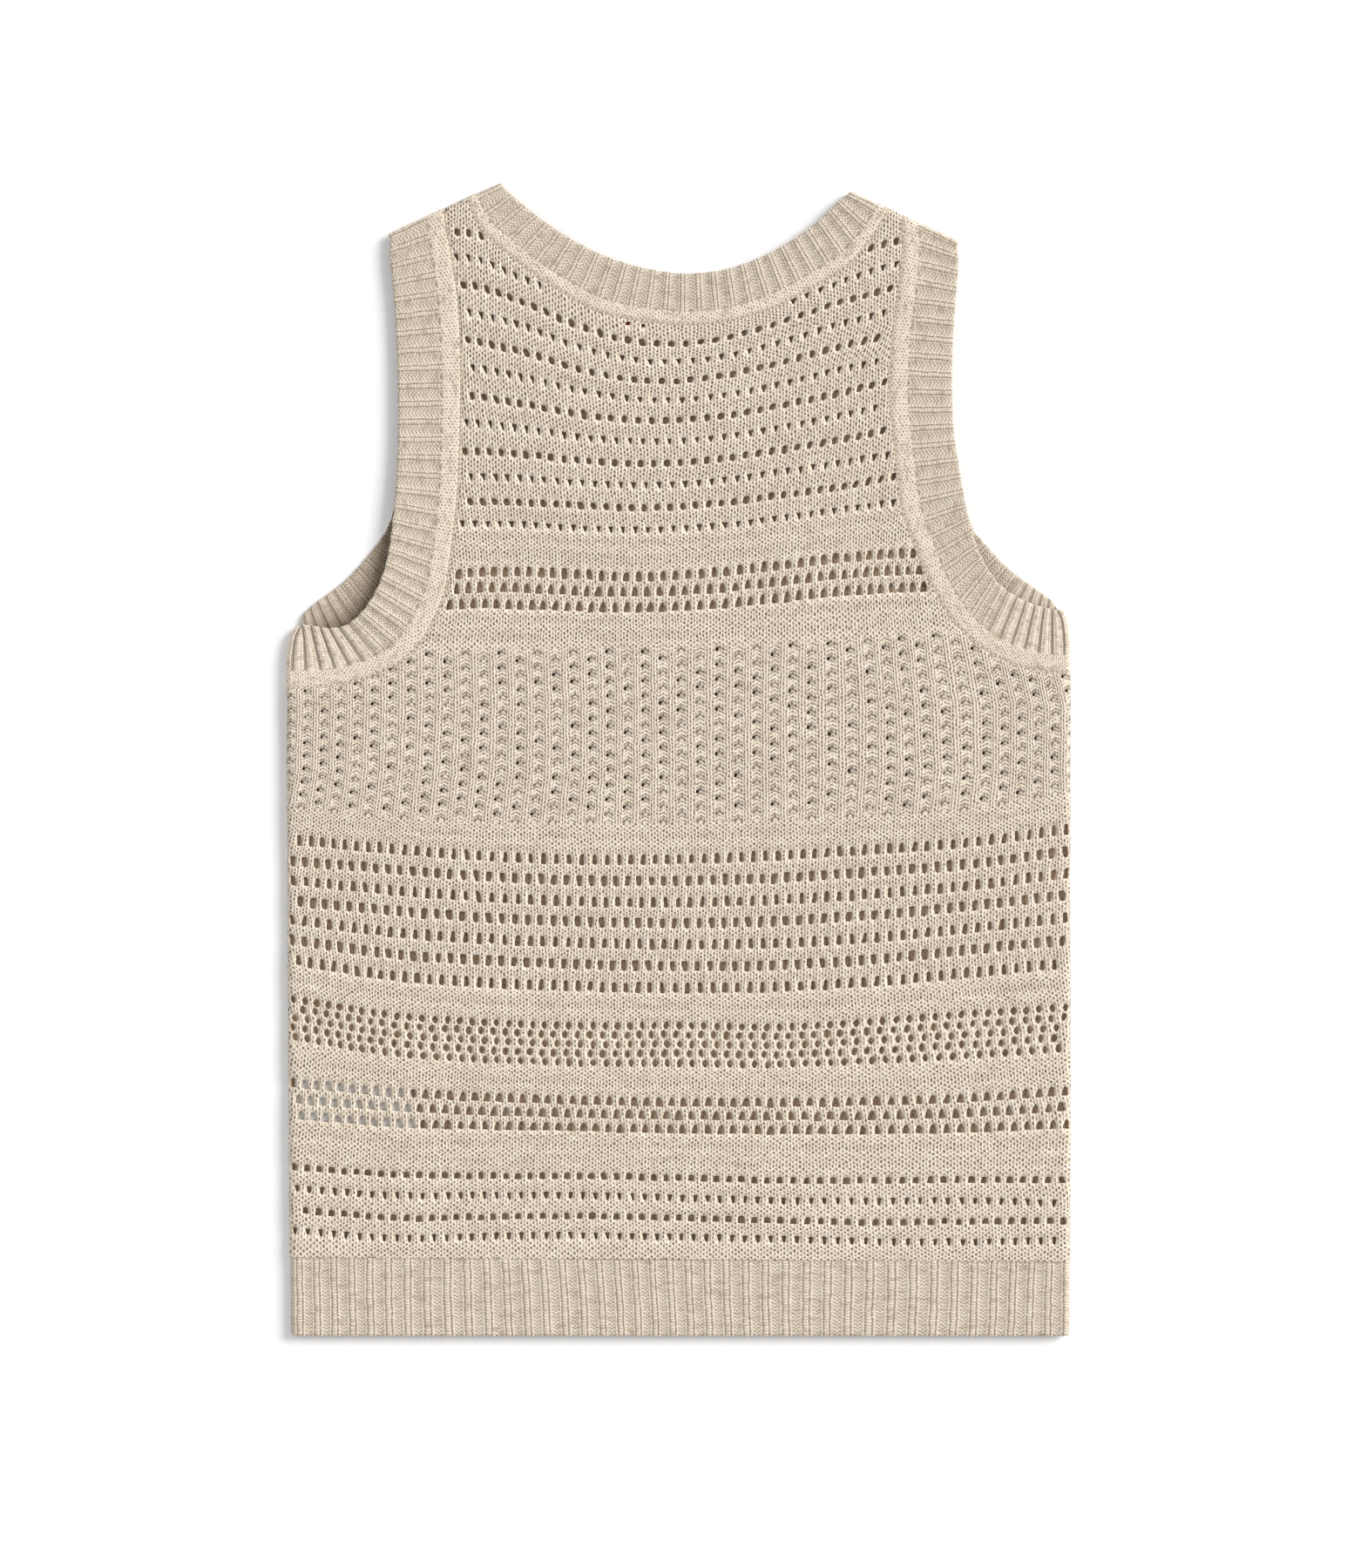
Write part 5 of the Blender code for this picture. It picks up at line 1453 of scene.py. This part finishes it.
# --------------------------------------------------------------------- labels
def build_label(name, corners, z_top, wall, sag):
    """A bare ribbon: a thin closed sheet with turned ends and a soft wave."""
    nx, ny = 36, 24
    u, v = np.meshgrid(np.linspace(0, 1, nx), np.linspace(0, 1, ny), indexing="ij")
    (x0, y0), (x1, y1), (x2, y2), (x3, y3) = corners
    x = (x0 * (1 - u) + x1 * u) * (1 - v) + (x3 * (1 - u) + x2 * u) * v
    y = (y0 * (1 - u) + y1 * u) * (1 - v) + (y3 * (1 - u) + y2 * u) * v
    wave = sag * (np.sin(u * 5.1 + 0.6) * np.sin(v * 3.9 + 0.9))
    hem = 0.06 * (1 - ease(0.03, 0.06, np.minimum(v, 1 - v)))
    rim = np.minimum(np.minimum(u, 1 - u), np.minimum(v, 1 - v))
    top = z_top + wave + hem - 0.05 * (rim == 0)
    low = z_top - wall + wave - hem + 0.05 * (rim == 0)
    index = np.arange(nx * ny).reshape(nx, ny)
    f = np.stack([index[:-1, :-1], index[1:, :-1], index[1:, 1:], index[:-1, 1:]], -1).reshape(-1, 4)
    count = nx * ny
    border = [(index[i, 0], index[i + 1, 0]) for i in range(nx - 1)]
    border += [(index[-1, j], index[-1, j + 1]) for j in range(ny - 1)]
    border += [(index[i + 1, -1], index[i, -1]) for i in range(nx - 1)][::-1]
    border += [(index[0, j + 1], index[0, j]) for j in range(ny - 1)][::-1]
    walls = np.array([[b, a, a + count, b + count] for a, b in border])
    quads = np.concatenate([f, f[:, ::-1] + count, walls])
    points = np.concatenate([np.column_stack([x.ravel(), y.ravel(), top.ravel()]),
                             np.column_stack([x.ravel(), y.ravel(), low.ravel()])])
    flat = np.stack([u.ravel(), v.ravel() * 0.45 + 0.02], 1) * 0.96 + 0.02
    table = np.concatenate([flat, flat + np.array([0.0, 0.49])])
    uv = table[np.concatenate([f, f[:, ::-1] + count])]
    wall_uv = flat[walls % count]
    wall_uv[:, 2:] += np.array([0.0, 0.004])
    uv = np.concatenate([uv, wall_uv])
    return mesh_piece(name, points, quads, uv.reshape(-1, 2), {})


# ---------------------------------------------------------------------- build
openwork = knit_material("knit_openwork")
ribbed = rib_material("knit_rib")
red = label_material("label_red", (0.55, 0.035, 0.05), (0.34, 0.015, 0.022), 0.6)
white = label_material("label_white", (0.80, 0.80, 0.77), (0.66, 0.66, 0.64), 0.42)

CUTS, PIECES = (86.5, 176.0), ("yoke", "middle", "skirt")
for node, under in (("back_panel", False), ("front_panel", True)):
    names = [f"{node}_{p}" for p in PIECES]
    made = build_panel(node, under, CUTS, names)
    for o, low, high in made:
        o.data.materials.append(openwork)
        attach(o, "root")
        w, h = (high - low) * MM
        area = o["flat_area"]
        del o["flat_area"]
        float(np.clip(area * 1.05, 0.3 * w * h, w * h))
    for o, low, high in made:
        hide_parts(node)


def pitch_neck(q):
    return np.full(len(q), 9.25)


def pitch_arm_left(q):
    d = np.where(q <= 1, q, np.where(q <= 2, 1.0, np.where(q <= 3, 3 - q, 0.0)))
    return np.interp(d, (0, 0.5, 0.62, 0.78, 0.86, 1.0), (10.4, 10.2, 9.3, 9.0, 7.2, 6.7))


def half_arm(q):
    d = np.where(q <= 1, q, np.where(q <= 2, 1.0, np.where(q <= 3, 3 - q, 0.0)))
    return np.interp(d, (0, 0.6, 0.8, 0.9, 1.0), (0.26, 0.26, 0.21, 0.12, 0.12))


left_n, right_n = shoulder_line(-1)[1], shoulder_line(1)[1]
# each band's last entry is its painted shade on the inner faces, base and extra near the top layer's edge; the left
# armband gets most
bands = {
    "neckband": (Band((neck_rows(0.0), 0), (neck_rows(NECK_UNDER_DROP), 0), left_n, right_n, False),
                 pitch_neck, 0.497, 0.765, lambda q: np.full(len(q), 0.262), (0.30, 0.10)),
    "armband_left": (Band((arm_rows(-1, False), TURN["left_top"]), (arm_rows(-1, True), TURN["left_under"]),
                          left_n, np.array([-1.0, 0.0]), True),
                     pitch_arm_left, 0.5, 0.715, half_arm, (0.20, 0.72)),
    "armband_right": (Band((arm_rows(1, False), TURN["right_top"]), (arm_rows(1, True), TURN["right_under"]),
                           right_n, np.array([1.0, 0.0]), True),
                      pitch_arm_left, 0.5, 0.715, half_arm, (0.04, 0.12)),
}
for name, (band, pitch, anchor, end, half, painted_shade) in bands.items():
    o, run, wide, area = build_band(name + "_rib", band, pitch, anchor, end, half, painted_shade)
    o.data.materials.append(ribbed)
    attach(o, "root")
    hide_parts(name)

for node, under in (("back_hem_rib", False), ("front_hem_rib", True)):
    o, wide = build_hem(node + "_knit", under)
    o.data.materials.append(ribbed)
    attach(o, "root")
    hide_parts(node)

label = build_label("neck_label_woven", ((-32.5, 243.5), (36.0, 243.5), (36.0, 269.5), (-32.5, 269.5)),
                    STACK - BAND_WALL - 0.3, 0.4, 0.0)
label.data.materials.append(red)
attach(label, "root")
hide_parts("neck_label")

label = build_label("care_label_ribbon", ((-219.8, -226.5), (-143.5, -226.5), (-158.0, -176.5), (-219.8, -176.5)),
                    STACK - PANEL_WALL - SEAM_GAP, 0.3, 0.0)
label.data.materials.append(white)
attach(label, "root")
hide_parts("care_label")

# ------------------------------------------------------------ floor and light
me = bpy.data.meshes.new("floor")
me.from_pydata([(-3, -3, -0.0004), (3, -3, -0.0004), (3, 3, -0.0004), (-3, 3, -0.0004)], [], [(0, 1, 2, 3)])
floor = bpy.data.objects.new("floor", me)
bpy.context.scene.collection.objects.link(floor)
me.materials.append(floor_material())


def sun_light(name, azimuth, elevation, angle, strength, colour):
    data = bpy.data.lights.new(name, "SUN")
    data.energy, data.color, data.angle = strength, colour, math.radians(angle)
    o = bpy.data.objects.new(name, data)
    a, e = math.radians(azimuth), math.radians(elevation)
    toward = Vector((math.cos(a) * math.cos(e), math.sin(a) * math.cos(e), math.sin(e)))
    o.rotation_euler = toward.to_track_quat("Z", "Y").to_euler()
    bpy.context.scene.collection.objects.link(o)


sun_light("key", 27.0, 29.0, 38.0, 3.88, (1.0, 0.99, 0.975))
sun_light("fill", 186.0, 32.0, 50.0, 0.80, (0.98, 0.99, 1.0))

world = bpy.data.worlds.new("studio")
bpy.context.scene.world = world
world.use_nodes = True
background = world.node_tree.nodes["Background"]
background.inputs["Color"].default_value = (1.0, 1.0, 1.0, 1.0)
background.inputs["Strength"].default_value = 0.50
bpy.context.scene.view_settings.view_transform = "Standard"

camera = bpy.data.objects.new("camera", bpy.data.cameras.new("camera"))
bpy.context.scene.collection.objects.link(camera)
bpy.context.scene.camera = camera
distance = 3.2
camera.data.sensor_width = 36.0
camera.data.lens = 36.0 * distance / (1800 * POINT * MM)
camera.location = ((777.0 - PLAN_X) * POINT * MM, ((PLAN_Y - 900.0) * POINT + SHIFT_Y) * MM, distance + 0.005)
camera.rotation_euler = (0, 0, 0)
camera.data.clip_end = 30.0
